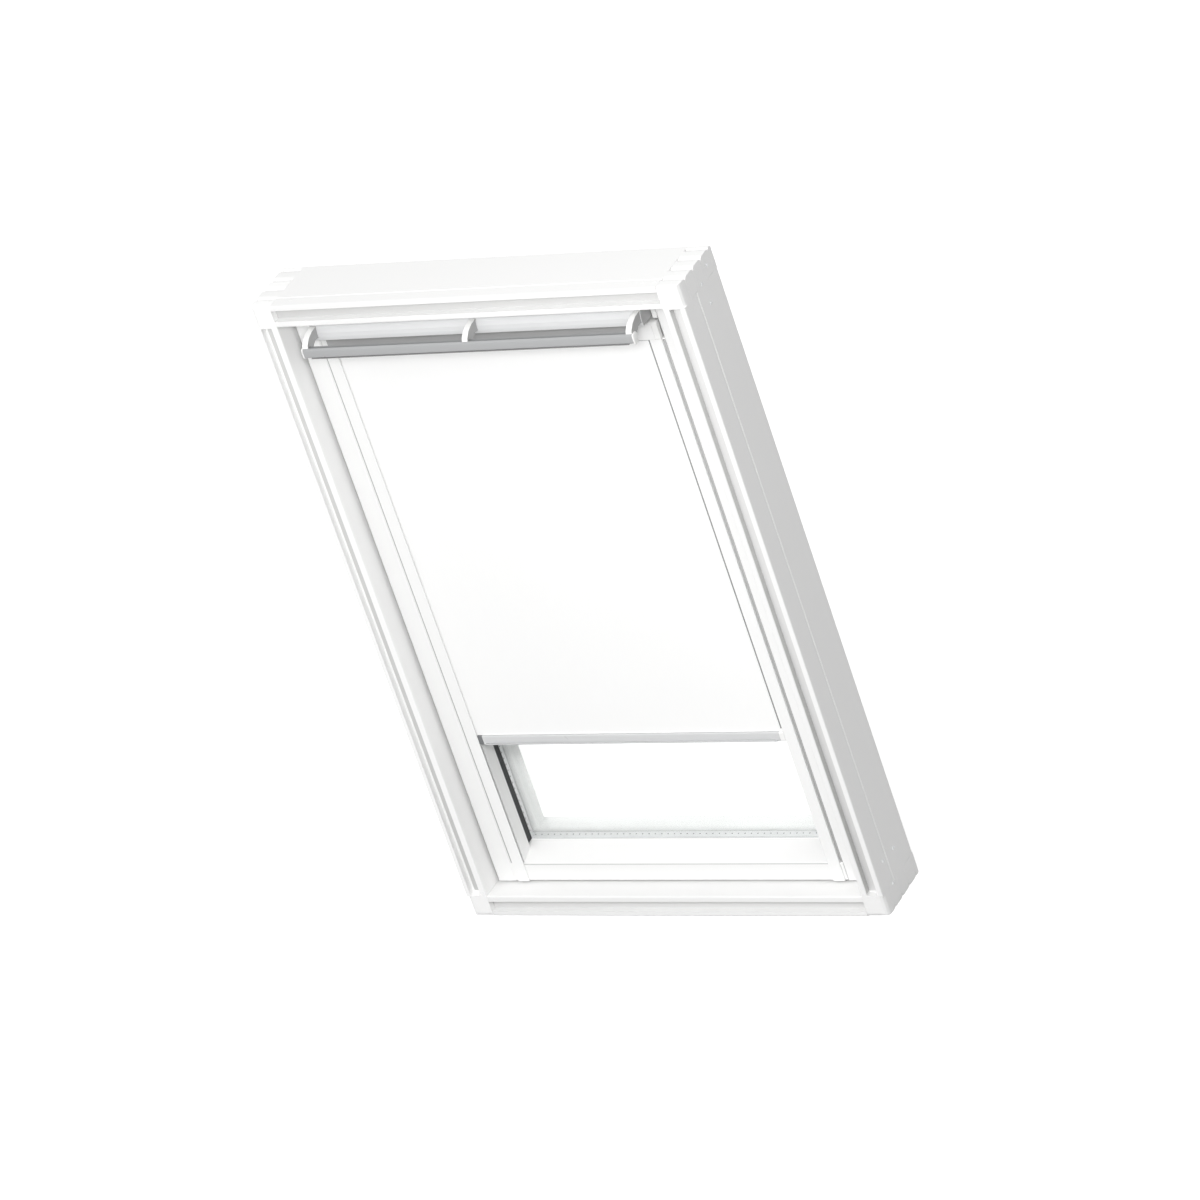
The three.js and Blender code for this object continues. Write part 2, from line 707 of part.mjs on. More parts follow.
// Latch in its case, and the cleaning bolt with its knob
function locks() {
  const high = sashTop - seatGap;
  const body = block(-lockCaseHalfLength, lockCaseHalfLength, lockAt, lockAt + lockCaseDepth,
    high - lockCaseHeight, high);
  const latchLow = high - latchLength;
  const passage = latchPassage(latchLow - seatGap, high + overrun, latchClearance);
  add('lock_case', cut(solid(body), passage), 'steel');
  add('latch_bolt', latchPassage(latchLow, high, 0), 'steel');
  const boltLow = high - boltLength;
  const knobHeight = boltLow + knobLow;
  const knob = rodY(knobRadius, boltAcross, ventPocketAt - knobReach, boltAt, knobHeight);
  add('barrel_bolt', joined(rodZ(boltRadius, boltAcross, boltAt, boltLow, high), knob), 'steel');
}

// Blind: side channels that follow the sash's bevel, with a slot for the cloth's edge. Their front
// stops short of the stile, so that a narrow groove runs between the two.
function bevelAt(at) {
  return sashFace + (at - sashFrontAt) / bevelRun;
}

function channelOutline(sign) {
  const backAt = channelFrontAt + channelDepth;
  const backOuter = sashHalf - bevelAt(backAt) - seatGap;
  const slotBackAt = slotFrontAt + channelSlot;
  const innerFace = channelInner + channelWall;
  const shoulderAt = channelFrontAt + channelShoulderDepth;
  const shoulderOuter = sashHalf - bevelAt(shoulderAt) - seatGap;
  const points = [
    [channelInner, channelFrontAt], [channelFrontHalf, channelFrontAt], [channelFrontHalf, shoulderAt],
    [shoulderOuter, shoulderAt], [backOuter, backAt], [channelInner, backAt], [channelInner, slotBackAt],
    [innerFace, slotBackAt], [innerFace, backAt - channelWall], [backOuter - channelWall,
      backAt - channelWall],
    [channelFrontHalf - channelWall, slotFrontAt], [channelInner, slotFrontAt],
  ];
  return outline(points.map(([x, at]) => [sign * x, depth(at)]));
}

function channels() {
  const reach = sashHalf - sashFace;
  const railCut = rail('bottom', seatGap, reach);
  const high = casingBottom - seatGap;
  for (const { side, sign } of sides) {
    const channel = alongZ(channelOutline(sign), sashBottom, high);
    add(`side_channel_${side}`, cut(solid(channel), railCut), 'aluminium');
    const sealFrom = channelInner + channelSealInset;
    const seal = sideBlock(sign, sealFrom, sealFrom + channelSealWidth,
      channelFrontAt + channelDepth + seatGap,
      paneAt - seatGap, sashBottom + sashFace + sashBevel + seatGap, high);
    add(`channel_seal_${side}`, seal, 'rubber');
  }
}

// Casing: a bent shell with a slot for the cloth, closed by an end at each side. The front of each
// end reaches out as far as the channel below it.
function casingCorners(wall) {
  const front = depth(casingFrontAt) + wall;
  const back = depth(casingFrontAt + casingDepth) - wall;
  const high = casingTop - wall;
  const shoulder = sashTop - bevelAt(casingFrontAt + casingDepth) - casingRailClearance - wall;
  return { front, back, high, low: casingBottom + wall, flat: depth(casingFlatAt), shoulder };
}

function casingOutline() {
  const out = casingCorners(0);
  const inn = casingCorners(casingWall);
  const slotFrom = out.front + casingSlotLip;
  const slotTo = slotFrom + casingSlotWidth;
  return outline([
    [slotFrom, out.low], [slotFrom, inn.low], [inn.front, inn.low], [inn.front, inn.high,
      casingRadius - casingWall],
    [inn.flat, inn.high], [inn.back, inn.shoulder], [inn.back, inn.low], [slotTo, inn.low], [slotTo, out.low],
    [out.back, out.low], [out.back, out.shoulder], [out.flat, out.high], [out.front, out.high, casingRadius],
    [out.front, out.low],
  ]);
}

function casing() {
  const inside = casingHalfLength - casingEndThickness - seatGap;
  add('blind_casing', alongX(casingOutline(), -inside, inside), 'aluminium');
  const out = casingCorners(0);
  const plate = outline([
    [out.front, out.low], [out.back, out.low], [out.back, out.shoulder], [out.flat, out.high],
    [out.front, out.high, casingRadius],
  ]);
  const flange = outline([
    [out.front, out.low], [out.front + casingFlangeDepth, out.low], [out.front + casingFlangeDepth, out.high],
    [out.front, out.high, casingRadius],
  ]);
  for (const { side, sign } of sides) {
    const x = [sign * (casingHalfLength - casingEndThickness), sign * casingHalfLength].sort((a, b) => a - b);
    const inner = casingHalfLength - casingEndThickness;
    const wing = [sign * inner, sign * Math.max(channelFrontHalf, casingHalfLength)].sort((a, b) => a - b);
    const stub = sideRod(sign, stubRadius, casingHalfLength - casingEndThickness - stubLength,
      casingHalfLength, rollerAt, rollerHeight);
    add(`casing_end_${side}`, joined(alongX(plate, ...x), alongX(flange, ...wing), stub), 'plastic');
  }
}

// A hollow round piece along X
function sleeve(sign, outerRadius, innerRadius, in0, in1) {
  const body = solid(sideRod(sign, outerRadius, in0, in1, rollerAt, rollerHeight));
  return cut(body, sideRod(sign, innerRadius, in0 - overrun, in1 + overrun, rollerAt, rollerHeight));
}

function roller() {
  const tube = cut(solid(rodX(rollerRadius, -rollerHalf, rollerHalf, rollerAt, rollerHeight)),
    rodX(rollerRadius - rollerWall, -frameWidth, frameWidth, rollerAt, rollerHeight));
  add('roller_tube', tube, 'steel');
  const rollHalf = rollerHalf - rollEndGap;
  const roll = cut(solid(rodX(rollRadius, -rollHalf, rollHalf, rollerAt, rollerHeight)),
    rodX(rollerRadius + seatGap, -frameWidth, frameWidth, rollerAt, rollerHeight));
  add('fabric_roll', roll, 'cloth');
  for (const { side, sign } of sides) {
    const bore = stubRadius + stubClearance;
    const flange = sleeve(sign, rollerRadius, bore, rollerHalf + seatGap, rollerHalf + seatGap + plugFlange);
    const core = sleeve(sign, rollerRadius - rollerWall - seatGap, bore, rollerHalf - plugLength,
      rollerHalf + seatGap + plugFlange);
    add(`roller_plug_${side}`, flange.add(core), 'plastic');
  }
}

// Bottom bar and the sliders that run in the channels' slots
function barProfile() {
  const middle = depth(fabricAt);
  const high = fabricBottom - seatGap;
  return rectangle(middle - barProfileDepth / 2, middle + barProfileDepth / 2,
    high - barProfileHeight, high, barProfileRadius);
}

function bottomBar() {
  const blockOuter = channelInner - sliderGap;
  const blockInner = blockOuter - sliderFace;
  const barHalf = blockInner - seatGap;
  add('bottom_bar', alongX(barProfile(), -barHalf, barHalf), 'aluminium');
  const high = fabricBottom - seatGap;
  const tongue = channelSlot / 2 - sliderGap;
  for (const { side, sign } of sides) {
    const x = [sign * blockInner, sign * blockOuter].sort((a, b) => a - b);
    const tab = sideBlock(sign, blockInner + barProfileRadius, channelInner + sliderTongue, fabricAt - tongue,
      fabricAt + tongue, high - barProfileHeight + barProfileRadius, high - barProfileRadius);
    add(`bar_slider_${side}`, joined(alongX(barProfile(), x[0], x[1]), tab), 'plastic');
  }
  const clothHalf = channelInner + fabricInChannel;
  add('blind_fabric', block(-clothHalf, clothHalf, fabricAt - fabricThickness / 2,
    fabricAt + fabricThickness / 2,
    fabricBottom, rollerHeight), 'cloth');
}

frameMembers();
striker();
sashMembers();
glazing();
covers();
pivots();
seals();
ventilationFlap();
controlBar();
locks();
channels();
casing();
roller();
bottomBar();

export default window3d;
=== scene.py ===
# %% [markdown]
# # A roof window with a roller blind
# This lesson dresses a centre-pivot roof window. Its rigid parts come ready made as a fixed
# frame of named nodes, so the first step loads that frame and keeps its box. Lengths are in metres:
# X runs across the window, Y from the room out through the roof, and Z up the slope.

# %% Load the frame
import json
import math

import bmesh
import bpy
from mathutils import Matrix, Vector


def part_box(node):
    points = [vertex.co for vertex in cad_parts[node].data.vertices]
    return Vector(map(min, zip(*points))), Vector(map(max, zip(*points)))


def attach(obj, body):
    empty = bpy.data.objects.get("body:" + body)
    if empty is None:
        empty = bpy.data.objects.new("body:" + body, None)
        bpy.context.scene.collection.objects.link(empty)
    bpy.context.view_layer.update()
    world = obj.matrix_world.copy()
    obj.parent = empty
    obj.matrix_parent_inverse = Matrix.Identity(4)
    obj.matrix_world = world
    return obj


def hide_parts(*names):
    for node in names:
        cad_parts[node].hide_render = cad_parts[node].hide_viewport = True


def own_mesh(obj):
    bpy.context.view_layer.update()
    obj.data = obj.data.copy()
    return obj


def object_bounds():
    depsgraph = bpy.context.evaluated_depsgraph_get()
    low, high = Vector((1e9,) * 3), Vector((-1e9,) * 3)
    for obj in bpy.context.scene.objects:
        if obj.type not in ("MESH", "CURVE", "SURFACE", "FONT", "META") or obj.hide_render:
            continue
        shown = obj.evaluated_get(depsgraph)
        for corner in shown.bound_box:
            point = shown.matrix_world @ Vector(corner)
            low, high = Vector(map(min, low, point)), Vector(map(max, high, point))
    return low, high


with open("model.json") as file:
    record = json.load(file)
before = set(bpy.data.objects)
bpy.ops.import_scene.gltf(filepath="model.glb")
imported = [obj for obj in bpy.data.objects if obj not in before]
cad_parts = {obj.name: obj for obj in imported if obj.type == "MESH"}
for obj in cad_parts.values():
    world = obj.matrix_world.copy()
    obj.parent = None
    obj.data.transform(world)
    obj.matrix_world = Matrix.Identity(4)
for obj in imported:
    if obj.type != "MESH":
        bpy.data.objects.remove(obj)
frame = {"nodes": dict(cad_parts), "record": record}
frame_low, frame_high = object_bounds()
nodes = frame["nodes"]
bpy.ops.object.select_all(action="DESELECT")
print("nodes:", len(nodes), "box:", [round(v, 3) for v in (*frame_low, *frame_high)])

# %% [markdown]
# ## The camera
# The picture was taken with a long lens from high on the right, and turned until the window
# leans as it does in a roof. We place the camera at the same spot, aim it with a track
# quaternion, and then roll it about its own axis. A long lens keeps the edges nearly parallel.

# %% Camera at the picture's viewpoint
CAMERA_PLACE = Vector((5.73493, -8.22290, 5.86964))
CAMERA_AIM = Vector((-0.06819, 0.12522, 0.49537))
CAMERA_ROLL = math.radians(-19.366)
CAMERA_LENS = 212.97
SENSOR_WIDTH = 36

camera_data = bpy.data.cameras.new("camera")
camera_data.lens = CAMERA_LENS
camera_data.sensor_width = SENSOR_WIDTH
camera_data.clip_end = 100
camera = bpy.data.objects.new("camera", camera_data)
bpy.context.scene.collection.objects.link(camera)
bpy.context.scene.camera = camera
aim = (CAMERA_AIM - CAMERA_PLACE).to_track_quat("-Z", "Y").to_matrix().to_4x4()
camera.matrix_world = Matrix.Translation(CAMERA_PLACE) @ aim @ Matrix.Rotation(CAMERA_ROLL, 4, "Z")
print("camera looks from", [round(v, 2) for v in CAMERA_PLACE])

# %% [markdown]
# ## Light
# White lacquer shows its form only through soft shade, so most of the light is a soft world. It
# is brightest from the room side and a little bright from above and from behind, as in a studio
# with a large white wall behind the camera. Faces that look into the room come out white, and the
# right-hand face, which turns away from that wall, goes pale grey. A small key lamp high on the
# right gives the thin dark edges their side, and a wide weak one in front softens them. Rays from
# the camera, and those through glass or off metal, see a plain white world instead.

# %% World
WORLD_BASE = 0.04
WORLD_FROM_ROOM = 1.4
WORLD_FROM_ABOVE = 0.62
WORLD_FROM_BEHIND = 0.7


def white_to_the_eye(tree):
    """A mask that is 1 for camera, glossy and transmitted rays."""
    path = tree.nodes.new("ShaderNodeLightPath")
    first = tree.nodes.new("ShaderNodeMath")
    first.operation = "MAXIMUM"
    second = tree.nodes.new("ShaderNodeMath")
    second.operation = "MAXIMUM"
    tree.links.new(path.outputs["Is Camera Ray"], first.inputs[0])
    tree.links.new(path.outputs["Is Glossy Ray"], first.inputs[1])
    tree.links.new(first.outputs[0], second.inputs[0])
    tree.links.new(path.outputs["Is Transmission Ray"], second.inputs[1])
    return second.outputs[0]


def one_sided(tree, value, share):
    """The share of a value where it is above zero, and nothing below."""
    positive = tree.nodes.new("ShaderNodeMath")
    positive.operation = "MAXIMUM"
    positive.inputs[1].default_value = 0.0
    scaled = tree.nodes.new("ShaderNodeMath")
    scaled.operation = "MULTIPLY"
    scaled.inputs[1].default_value = share
    tree.links.new(value, positive.inputs[0])
    tree.links.new(positive.outputs[0], scaled.inputs[0])
    return scaled.outputs[0]


world = bpy.data.worlds.new("plain_world")
bpy.context.scene.world = world
world.use_nodes = True
sky = world.node_tree
direction = sky.nodes.new("ShaderNodeTexCoord")
flipped = sky.nodes.new("ShaderNodeVectorMath")
flipped.operation = "MULTIPLY"
flipped.inputs[1].default_value = (1, -1, 1)
sky.links.new(direction.outputs["Generated"], flipped.inputs[0])
room_side = sky.nodes.new("ShaderNodeSeparateXYZ")
sky.links.new(flipped.outputs[0], room_side.inputs[0])
roof_side = sky.nodes.new("ShaderNodeSeparateXYZ")
sky.links.new(direction.outputs["Generated"], roof_side.inputs[0])
behind = sky.nodes.new("ShaderNodeMath")
behind.inputs[1].default_value = WORLD_BASE
sky.links.new(one_sided(sky, roof_side.outputs["Y"], WORLD_FROM_BEHIND), behind.inputs[0])
before = sky.nodes.new("ShaderNodeMath")
sky.links.new(one_sided(sky, room_side.outputs["Y"], WORLD_FROM_ROOM), before.inputs[0])
sky.links.new(one_sided(sky, room_side.outputs["Z"], WORLD_FROM_ABOVE), before.inputs[1])
lit = sky.nodes.new("ShaderNodeMath")
sky.links.new(before.outputs[0], lit.inputs[0])
sky.links.new(behind.outputs[0], lit.inputs[1])
level = sky.nodes.new("ShaderNodeMix")
level.inputs["B"].default_value = 1.0
sky.links.new(lit.outputs[0], level.inputs["A"])
sky.links.new(white_to_the_eye(sky), level.inputs["Factor"])
sky.nodes["Background"].inputs["Color"].default_value = (1, 1, 1, 1)
sky.links.new(level.outputs["Result"], sky.nodes["Background"].inputs["Strength"])
print("world nodes:", len(sky.nodes))

# %% Lamps
KEY_PLACE = (1.5, -2.2, 2.5)
KEY_SIZE = 0.5
KEY_POWER = 33
FRONT_PLACE = (0.2, -2.4, 1.8)
FRONT_SIZE = 1.2
FRONT_POWER = 11


def lamp(name, place, target, size, power):
    """A square area lamp that points at the target."""
    data = bpy.data.lights.new(name, "AREA")
    data.size = size
    data.energy = power
    made = bpy.data.objects.new(name, data)
    bpy.context.scene.collection.objects.link(made)
    made.location = place
    made.rotation_euler = (Vector(target) - Vector(place)).to_track_quat("-Z", "Y").to_euler()
    return made


window_middle = (frame_low + frame_high) / 2
lamp("key_lamp", KEY_PLACE, window_middle, KEY_SIZE, KEY_POWER)
lamp("front_lamp", FRONT_PLACE, window_middle, FRONT_SIZE, FRONT_POWER)
bpy.context.scene.view_settings.view_transform = "Standard"

# %% [markdown]
# ## Floor
# The window stands on a plain floor that melts into the white world. Its material adds a little
# glow for the rays that reach the eye, so only the soft shadow of the window stays visible. For
# the light that bounces, the floor is a mid grey, or it would light the frame from below.

# %% Floor
FLOOR_BOUNCE = 0.2
FLOOR_GLOW = 0.42
FLOOR_SIZE = 60
FLOOR_BELOW = 0.0005

bpy.ops.mesh.primitive_plane_add(size=FLOOR_SIZE, location=(0, 0, frame_low.z - FLOOR_BELOW))
floor = bpy.context.object
floor.name = "floor"
floor_material = bpy.data.materials.new("floor_white")
floor_material.use_nodes = True
tree = floor_material.node_tree
eye = white_to_the_eye(tree)
shade = tree.nodes["Principled BSDF"]
shade.inputs["Roughness"].default_value = 1.0
shade.inputs["Specular IOR Level"].default_value = 0.0
tint = tree.nodes.new("ShaderNodeMix")
tint.data_type = "RGBA"
tint.inputs["A"].default_value = (FLOOR_BOUNCE, FLOOR_BOUNCE, FLOOR_BOUNCE, 1)
tint.inputs["B"].default_value = (1, 1, 1, 1)
glow = tree.nodes.new("ShaderNodeMath")
glow.operation = "MULTIPLY"
glow.inputs[1].default_value = FLOOR_GLOW
tree.links.new(eye, tint.inputs["Factor"])
tree.links.new(eye, glow.inputs[0])
tree.links.new(tint.outputs["Result"], shade.inputs["Base Color"])
shade.inputs["Emission Color"].default_value = (1, 1, 1, 1)
tree.links.new(glow.outputs[0], shade.inputs["Emission Strength"])
floor.data.materials.append(floor_material)
print("floor at", round(floor.location.z, 4))

# %% [markdown]
# ## Effects that several finishes share
# Paint, powder coat, plastic and cloth all need fine relief and slight changes of tone. Each of
# these effects is a node group with named sockets, made once and then placed in every material
# with values of its own. Each group takes a position in metres and gives a height or a tone.

# %% A helper for node groups
def effect(name, inputs, outputs):
    """A new node group with these sockets, and its input and output nodes."""
    group = bpy.data.node_groups.new(name, "ShaderNodeTree")
    for label, kind, value in inputs:
        made = group.interface.new_socket(label, in_out="INPUT", socket_type=kind)
        if value is not None:
            made.default_value = value
    for label in outputs:
        group.interface.new_socket(label, in_out="OUTPUT", socket_type="NodeSocketFloat")
    return group, group.nodes.new("NodeGroupInput"), group.nodes.new("NodeGroupOutput")


def sums(tree, operation, first, second=None, third=None):
    """A maths node; each term is a number or another node's output."""
    node = tree.nodes.new("ShaderNodeMath")
    node.operation = operation
    for index, term in enumerate((first, second, third)):
        if isinstance(term, (int, float)):
            node.inputs[index].default_value = term
        elif term is not None:
            tree.links.new(term, node.inputs[index])
    return node.outputs[0]


def noise(tree, vector, scale, detail=2.0, roughness=0.5):
    """A noise texture's value; the scale is a number or an output."""
    node = tree.nodes.new("ShaderNodeTexNoise")
    node.inputs["Detail"].default_value = detail
    node.inputs["Roughness"].default_value = roughness
    tree.links.new(vector, node.inputs["Vector"])
    if isinstance(scale, (int, float)):
        node.inputs["Scale"].default_value = scale
    else:
        tree.links.new(scale, node.inputs["Scale"])
    return node.outputs["Fac"]


print("helpers for node groups are ready")

# %% [markdown]
# **Grain under paint.** Brushed and sprayed pine keeps long, faint ridges along the board. Noise
# that is stretched along one axis gives them. A finer noise on top is the paint's own skin.

# %% Grain under paint
RIDGE_STRETCH = 0.035
SKIN_SCALE = 900
BOARD_TONE_SCALE = 22

grain, grain_in, grain_out = effect(
    "grain_under_paint",
    [("Vector", "NodeSocketVector", None), ("Ridge Width", "NodeSocketFloat", 0.0015),
     ("Skin", "NodeSocketFloat", 0.3)],
    ["Height", "Tone"],
)
stretch = grain.nodes.new("ShaderNodeMapping")
stretch.inputs["Scale"].default_value = (1, 1, RIDGE_STRETCH)
grain.links.new(grain_in.outputs["Vector"], stretch.inputs["Vector"])
ridge_scale = sums(grain, "DIVIDE", 1.0, grain_in.outputs["Ridge Width"])
ridges = noise(grain, stretch.outputs["Vector"], ridge_scale, detail=3)
skin = noise(grain, grain_in.outputs["Vector"], SKIN_SCALE, detail=1)
skin_part = sums(grain, "MULTIPLY", skin, grain_in.outputs["Skin"])
grain.links.new(sums(grain, "ADD", ridges, skin_part), grain_out.inputs["Height"])
broad = noise(grain, stretch.outputs["Vector"], BOARD_TONE_SCALE, detail=2)
grain.links.new(broad, grain_out.inputs["Tone"])
print("grain group:", len(grain.nodes), "nodes")

# %% [markdown]
# **Speckle.** Powder coat has an orange-peel skin and moulded plastic a fine spark texture. Both
# are small round bumps, so cells of a Voronoi texture blended with noise suit them.

# %% Speckle of powder coat and moulded plastic
CELL_SHARE = 0.6
COAT_TONE_SCALE = 14

speckle, speckle_in, speckle_out = effect(
    "fine_speckle",
    [("Vector", "NodeSocketVector", None), ("Speck Size", "NodeSocketFloat", 0.0008)],
    ["Height", "Tone"],
)
speck_scale = sums(speckle, "DIVIDE", 1.0, speckle_in.outputs["Speck Size"])
cells = speckle.nodes.new("ShaderNodeTexVoronoi")
speckle.links.new(speckle_in.outputs["Vector"], cells.inputs["Vector"])
speckle.links.new(speck_scale, cells.inputs["Scale"])
speck_noise = noise(speckle, speckle_in.outputs["Vector"], speck_scale, detail=2)
bumps = sums(speckle, "MULTIPLY_ADD", cells.outputs["Distance"], CELL_SHARE, speck_noise)
speckle.links.new(bumps, speckle_out.inputs["Height"])
coat_tone = noise(speckle, speckle_in.outputs["Vector"], COAT_TONE_SCALE, detail=3)
speckle.links.new(coat_tone, speckle_out.inputs["Tone"])
print("speckle group:", len(speckle.nodes), "nodes")

# %% [markdown]
# **Weave.** The blind's cloth is a plain weave of fine yarn, coated on the back. Two sine waves
# across each other, one per yarn direction, make the small squares, and noise varies the yarn.

# %% Weave of the blind's cloth
SLUB_STRETCH = 0.08
SLUB_SCALE = 420
YARN_SHARE = 0.5

weave, weave_in, weave_out = effect(
    "plain_weave",
    [("Vector", "NodeSocketVector", None), ("Yarn Pitch", "NodeSocketFloat", 0.0006)],
    ["Height", "Tone"],
)
weave_split = weave.nodes.new("ShaderNodeSeparateXYZ")
weave.links.new(weave_in.outputs["Vector"], weave_split.inputs[0])
turns = sums(weave, "DIVIDE", 2 * math.pi, weave_in.outputs["Yarn Pitch"])
warp = sums(weave, "SINE", sums(weave, "MULTIPLY", weave_split.outputs["X"], turns))
weft = sums(weave, "SINE", sums(weave, "MULTIPLY", weave_split.outputs["Z"], turns))
slubs = weave.nodes.new("ShaderNodeMapping")
slubs.inputs["Scale"].default_value = (1, 1, SLUB_STRETCH)
weave.links.new(weave_in.outputs["Vector"], slubs.inputs["Vector"])
slub_value = noise(weave, slubs.outputs["Vector"], SLUB_SCALE, detail=2)
crossings = sums(weave, "MULTIPLY", warp, weft)
relief = sums(weave, "MULTIPLY_ADD", crossings, YARN_SHARE, slub_value)
weave.links.new(relief, weave_out.inputs["Height"])
weave.links.new(slub_value, weave_out.inputs["Tone"])
print("weave group:", len(weave.nodes), "nodes")

# %% [markdown]
# **Drawn lines.** Aluminium that came out of a die, and steel that was rolled, keep hair lines
# along their length. This is the grain's idea again, with far finer and longer streaks.

# %% Lines of drawn metal
LINE_STRETCH = 0.01
METAL_TONE_SCALE = 30

drawn, drawn_in, drawn_out = effect(
    "drawn_lines",
    [("Vector", "NodeSocketVector", None), ("Line Width", "NodeSocketFloat", 0.0004)],
    ["Height", "Tone"],
)
draw_out = drawn.nodes.new("ShaderNodeMapping")
draw_out.inputs["Scale"].default_value = (1, 1, LINE_STRETCH)
drawn.links.new(drawn_in.outputs["Vector"], draw_out.inputs["Vector"])
line_scale = sums(drawn, "DIVIDE", 1.0, drawn_in.outputs["Line Width"])
hair_lines = noise(drawn, draw_out.outputs["Vector"], line_scale, detail=1)
drawn.links.new(hair_lines, drawn_out.inputs["Height"])
metal_tone = noise(drawn, drawn_in.outputs["Vector"], METAL_TONE_SCALE, detail=4)
drawn.links.new(metal_tone, drawn_out.inputs["Tone"])
print("drawn group:", len(drawn.nodes), "nodes")

# %% [markdown]
# **Row of holes.** The spacer between the panes has a row of pin holes that let the drying
# beads inside it breathe. The holes are far too many to cut, so a pattern darkens them.

# %% Row of holes in the spacer
holes, holes_in, holes_out = effect(
    "row_of_holes",
    [("Vector", "NodeSocketVector", None), ("Pitch", "NodeSocketFloat", 0.012),
     ("Middle", "NodeSocketFloat", 0.04), ("Radius", "NodeSocketFloat", 0.0011)],
    ["Mask"],
)
holes_split = holes.nodes.new("ShaderNodeSeparateXYZ")
holes.links.new(holes_in.outputs["Vector"], holes_split.inputs[0])
along = sums(holes, "ADD", holes_split.outputs["X"], holes_split.outputs["Z"])
beat = sums(holes, "PINGPONG", along, sums(holes, "MULTIPLY", holes_in.outputs["Pitch"], 0.5))
across = sums(holes, "SUBTRACT", holes_split.outputs["Y"], holes_in.outputs["Middle"])
squares = sums(holes, "ADD", sums(holes, "POWER", beat, 2), sums(holes, "POWER", across, 2))
reach = sums(holes, "SQRT", squares)
holes.links.new(sums(holes, "LESS_THAN", reach, holes_in.outputs["Radius"]), holes_out.inputs["Mask"])
print("holes group:", len(holes.nodes), "nodes")

# %% [markdown]
# ## Finishes
# One function builds a finish: a base colour that wanders a little with the effect's tone, a
# roughness that wanders with it, and a bump from the effect's height. The size is how wide the
# effect's marks are and the lift how high they stand, both in metres. Values that are the same
# all over are set on the shader's own sockets. Each finish then adds only what is special to it.

# %% The function that makes a finish
UPRIGHT = (0, 0, 0)
LEVEL = (0, math.radians(90), 0)
ROUGH_WANDER = 0.06


def finish(name, colour, roughness, group, size, lift, wander=0.02, turn=UPRIGHT, **sockets):
    """A material whose colour, roughness and bump come from one shared effect."""
    material = bpy.data.materials.new(name)
    material.use_nodes = True
    tree = material.node_tree
    shader = tree.nodes["Principled BSDF"]
    place = tree.nodes.new("ShaderNodeTexCoord")
    mapping = tree.nodes.new("ShaderNodeMapping")
    mapping.inputs["Rotation"].default_value = turn
    tree.links.new(place.outputs["Object"], mapping.inputs["Vector"])
    node = tree.nodes.new("ShaderNodeGroup")
    node.node_tree = group
    tree.links.new(mapping.outputs["Vector"], node.inputs["Vector"])
    node.inputs[1].default_value = size
    darker = [channel * (1 - 2 * wander) for channel in colour]
    tint = tree.nodes.new("ShaderNodeMix")
    tint.data_type = "RGBA"
    tint.inputs["A"].default_value = (*darker, 1)
    tint.inputs["B"].default_value = (*colour, 1)
    tree.links.new(node.outputs["Tone"], tint.inputs["Factor"])
    tree.links.new(tint.outputs["Result"], shader.inputs["Base Color"])
    rough = tree.nodes.new("ShaderNodeMapRange")
    rough.inputs["To Min"].default_value = roughness - ROUGH_WANDER
    rough.inputs["To Max"].default_value = roughness + ROUGH_WANDER
    tree.links.new(node.outputs["Tone"], rough.inputs["Value"])
    tree.links.new(rough.outputs["Result"], shader.inputs["Roughness"])
    bump = tree.nodes.new("ShaderNodeBump")
    bump.inputs["Distance"].default_value = lift
    tree.links.new(node.outputs["Height"], bump.inputs["Height"])
    tree.links.new(bump.outputs["Normal"], shader.inputs["Normal"])
    for label, value in sockets.items():
        shader.inputs[label.replace("_", " ")].default_value = value
    return material


print("finish() is ready")

# %% [markdown]
# ** White paint.** The wood is finger-jointed pine under several coats of satin white. Boards
# that run up the slope and boards that run across need the grain turned, so there are two. The
# left member's reveal stands in shade, so its white is painted brighter: painted light.

# %% White paint on wood
WHITE_PAINT = (0.86, 0.86, 0.855)
PAINTED_LIGHT_WHITE = (0.93, 0.93, 0.925)
BRUSH_RIDGE = 0.0016
BRUSH_LIFT = 0.00004
SATIN = 0.42


def paint(name, colour, turn=UPRIGHT):
    """Satin paint over the grain of a board."""
    return finish(name, colour, SATIN, grain, BRUSH_RIDGE, BRUSH_LIFT, wander=0.008, turn=turn)


paint_upright = paint("paint_upright", WHITE_PAINT)
paint_level = paint("paint_level", WHITE_PAINT, LEVEL)
painted_light_paint = paint("painted_light_paint", PAINTED_LIGHT_WHITE)
print("paint:", paint_upright.name, paint_level.name, painted_light_paint.name)

# %% [markdown]
# ** Painted shade in the grooves.** The grooves that later hold the room's lining get grey boards,
# greyer and duller than the paint, which paint the shade that falls in them. Where a groove lies in
# deeper shade, a darker tone of the same finish is painted, and a darker grey still paints thin lines of
# shade.

# %% Painted shade in the grooves
GROOVE_SHADE_GREY = (0.72, 0.72, 0.715)
DEEPER_GROOVE_SHADE_GREY = (0.62, 0.62, 0.615)
LINE_SHADE_GREY = (0.57, 0.57, 0.565)
SHADE_BOARD_LIFT = 0.00005
DULL = 0.6


def shade_board_finish(name, colour, turn=UPRIGHT):
    """Dull grey over the grain of a board, painted shade."""
    return finish(name, colour, DULL, grain, BRUSH_RIDGE, SHADE_BOARD_LIFT, wander=0.012, turn=turn)


groove_shade_upright = shade_board_finish("groove_shade_upright", GROOVE_SHADE_GREY)
groove_shade_level = shade_board_finish("groove_shade_level", GROOVE_SHADE_GREY, LEVEL)
groove_deep_shade = shade_board_finish("groove_deep_shade", DEEPER_GROOVE_SHADE_GREY)
groove_deep_shade_level = shade_board_finish("groove_deep_shade_level", DEEPER_GROOVE_SHADE_GREY, LEVEL)
line_shade_finish = shade_board_finish("painted_shade_line", LINE_SHADE_GREY)
print("primer:", groove_shade_upright.name, groove_deep_shade.name, line_shade_finish.name)

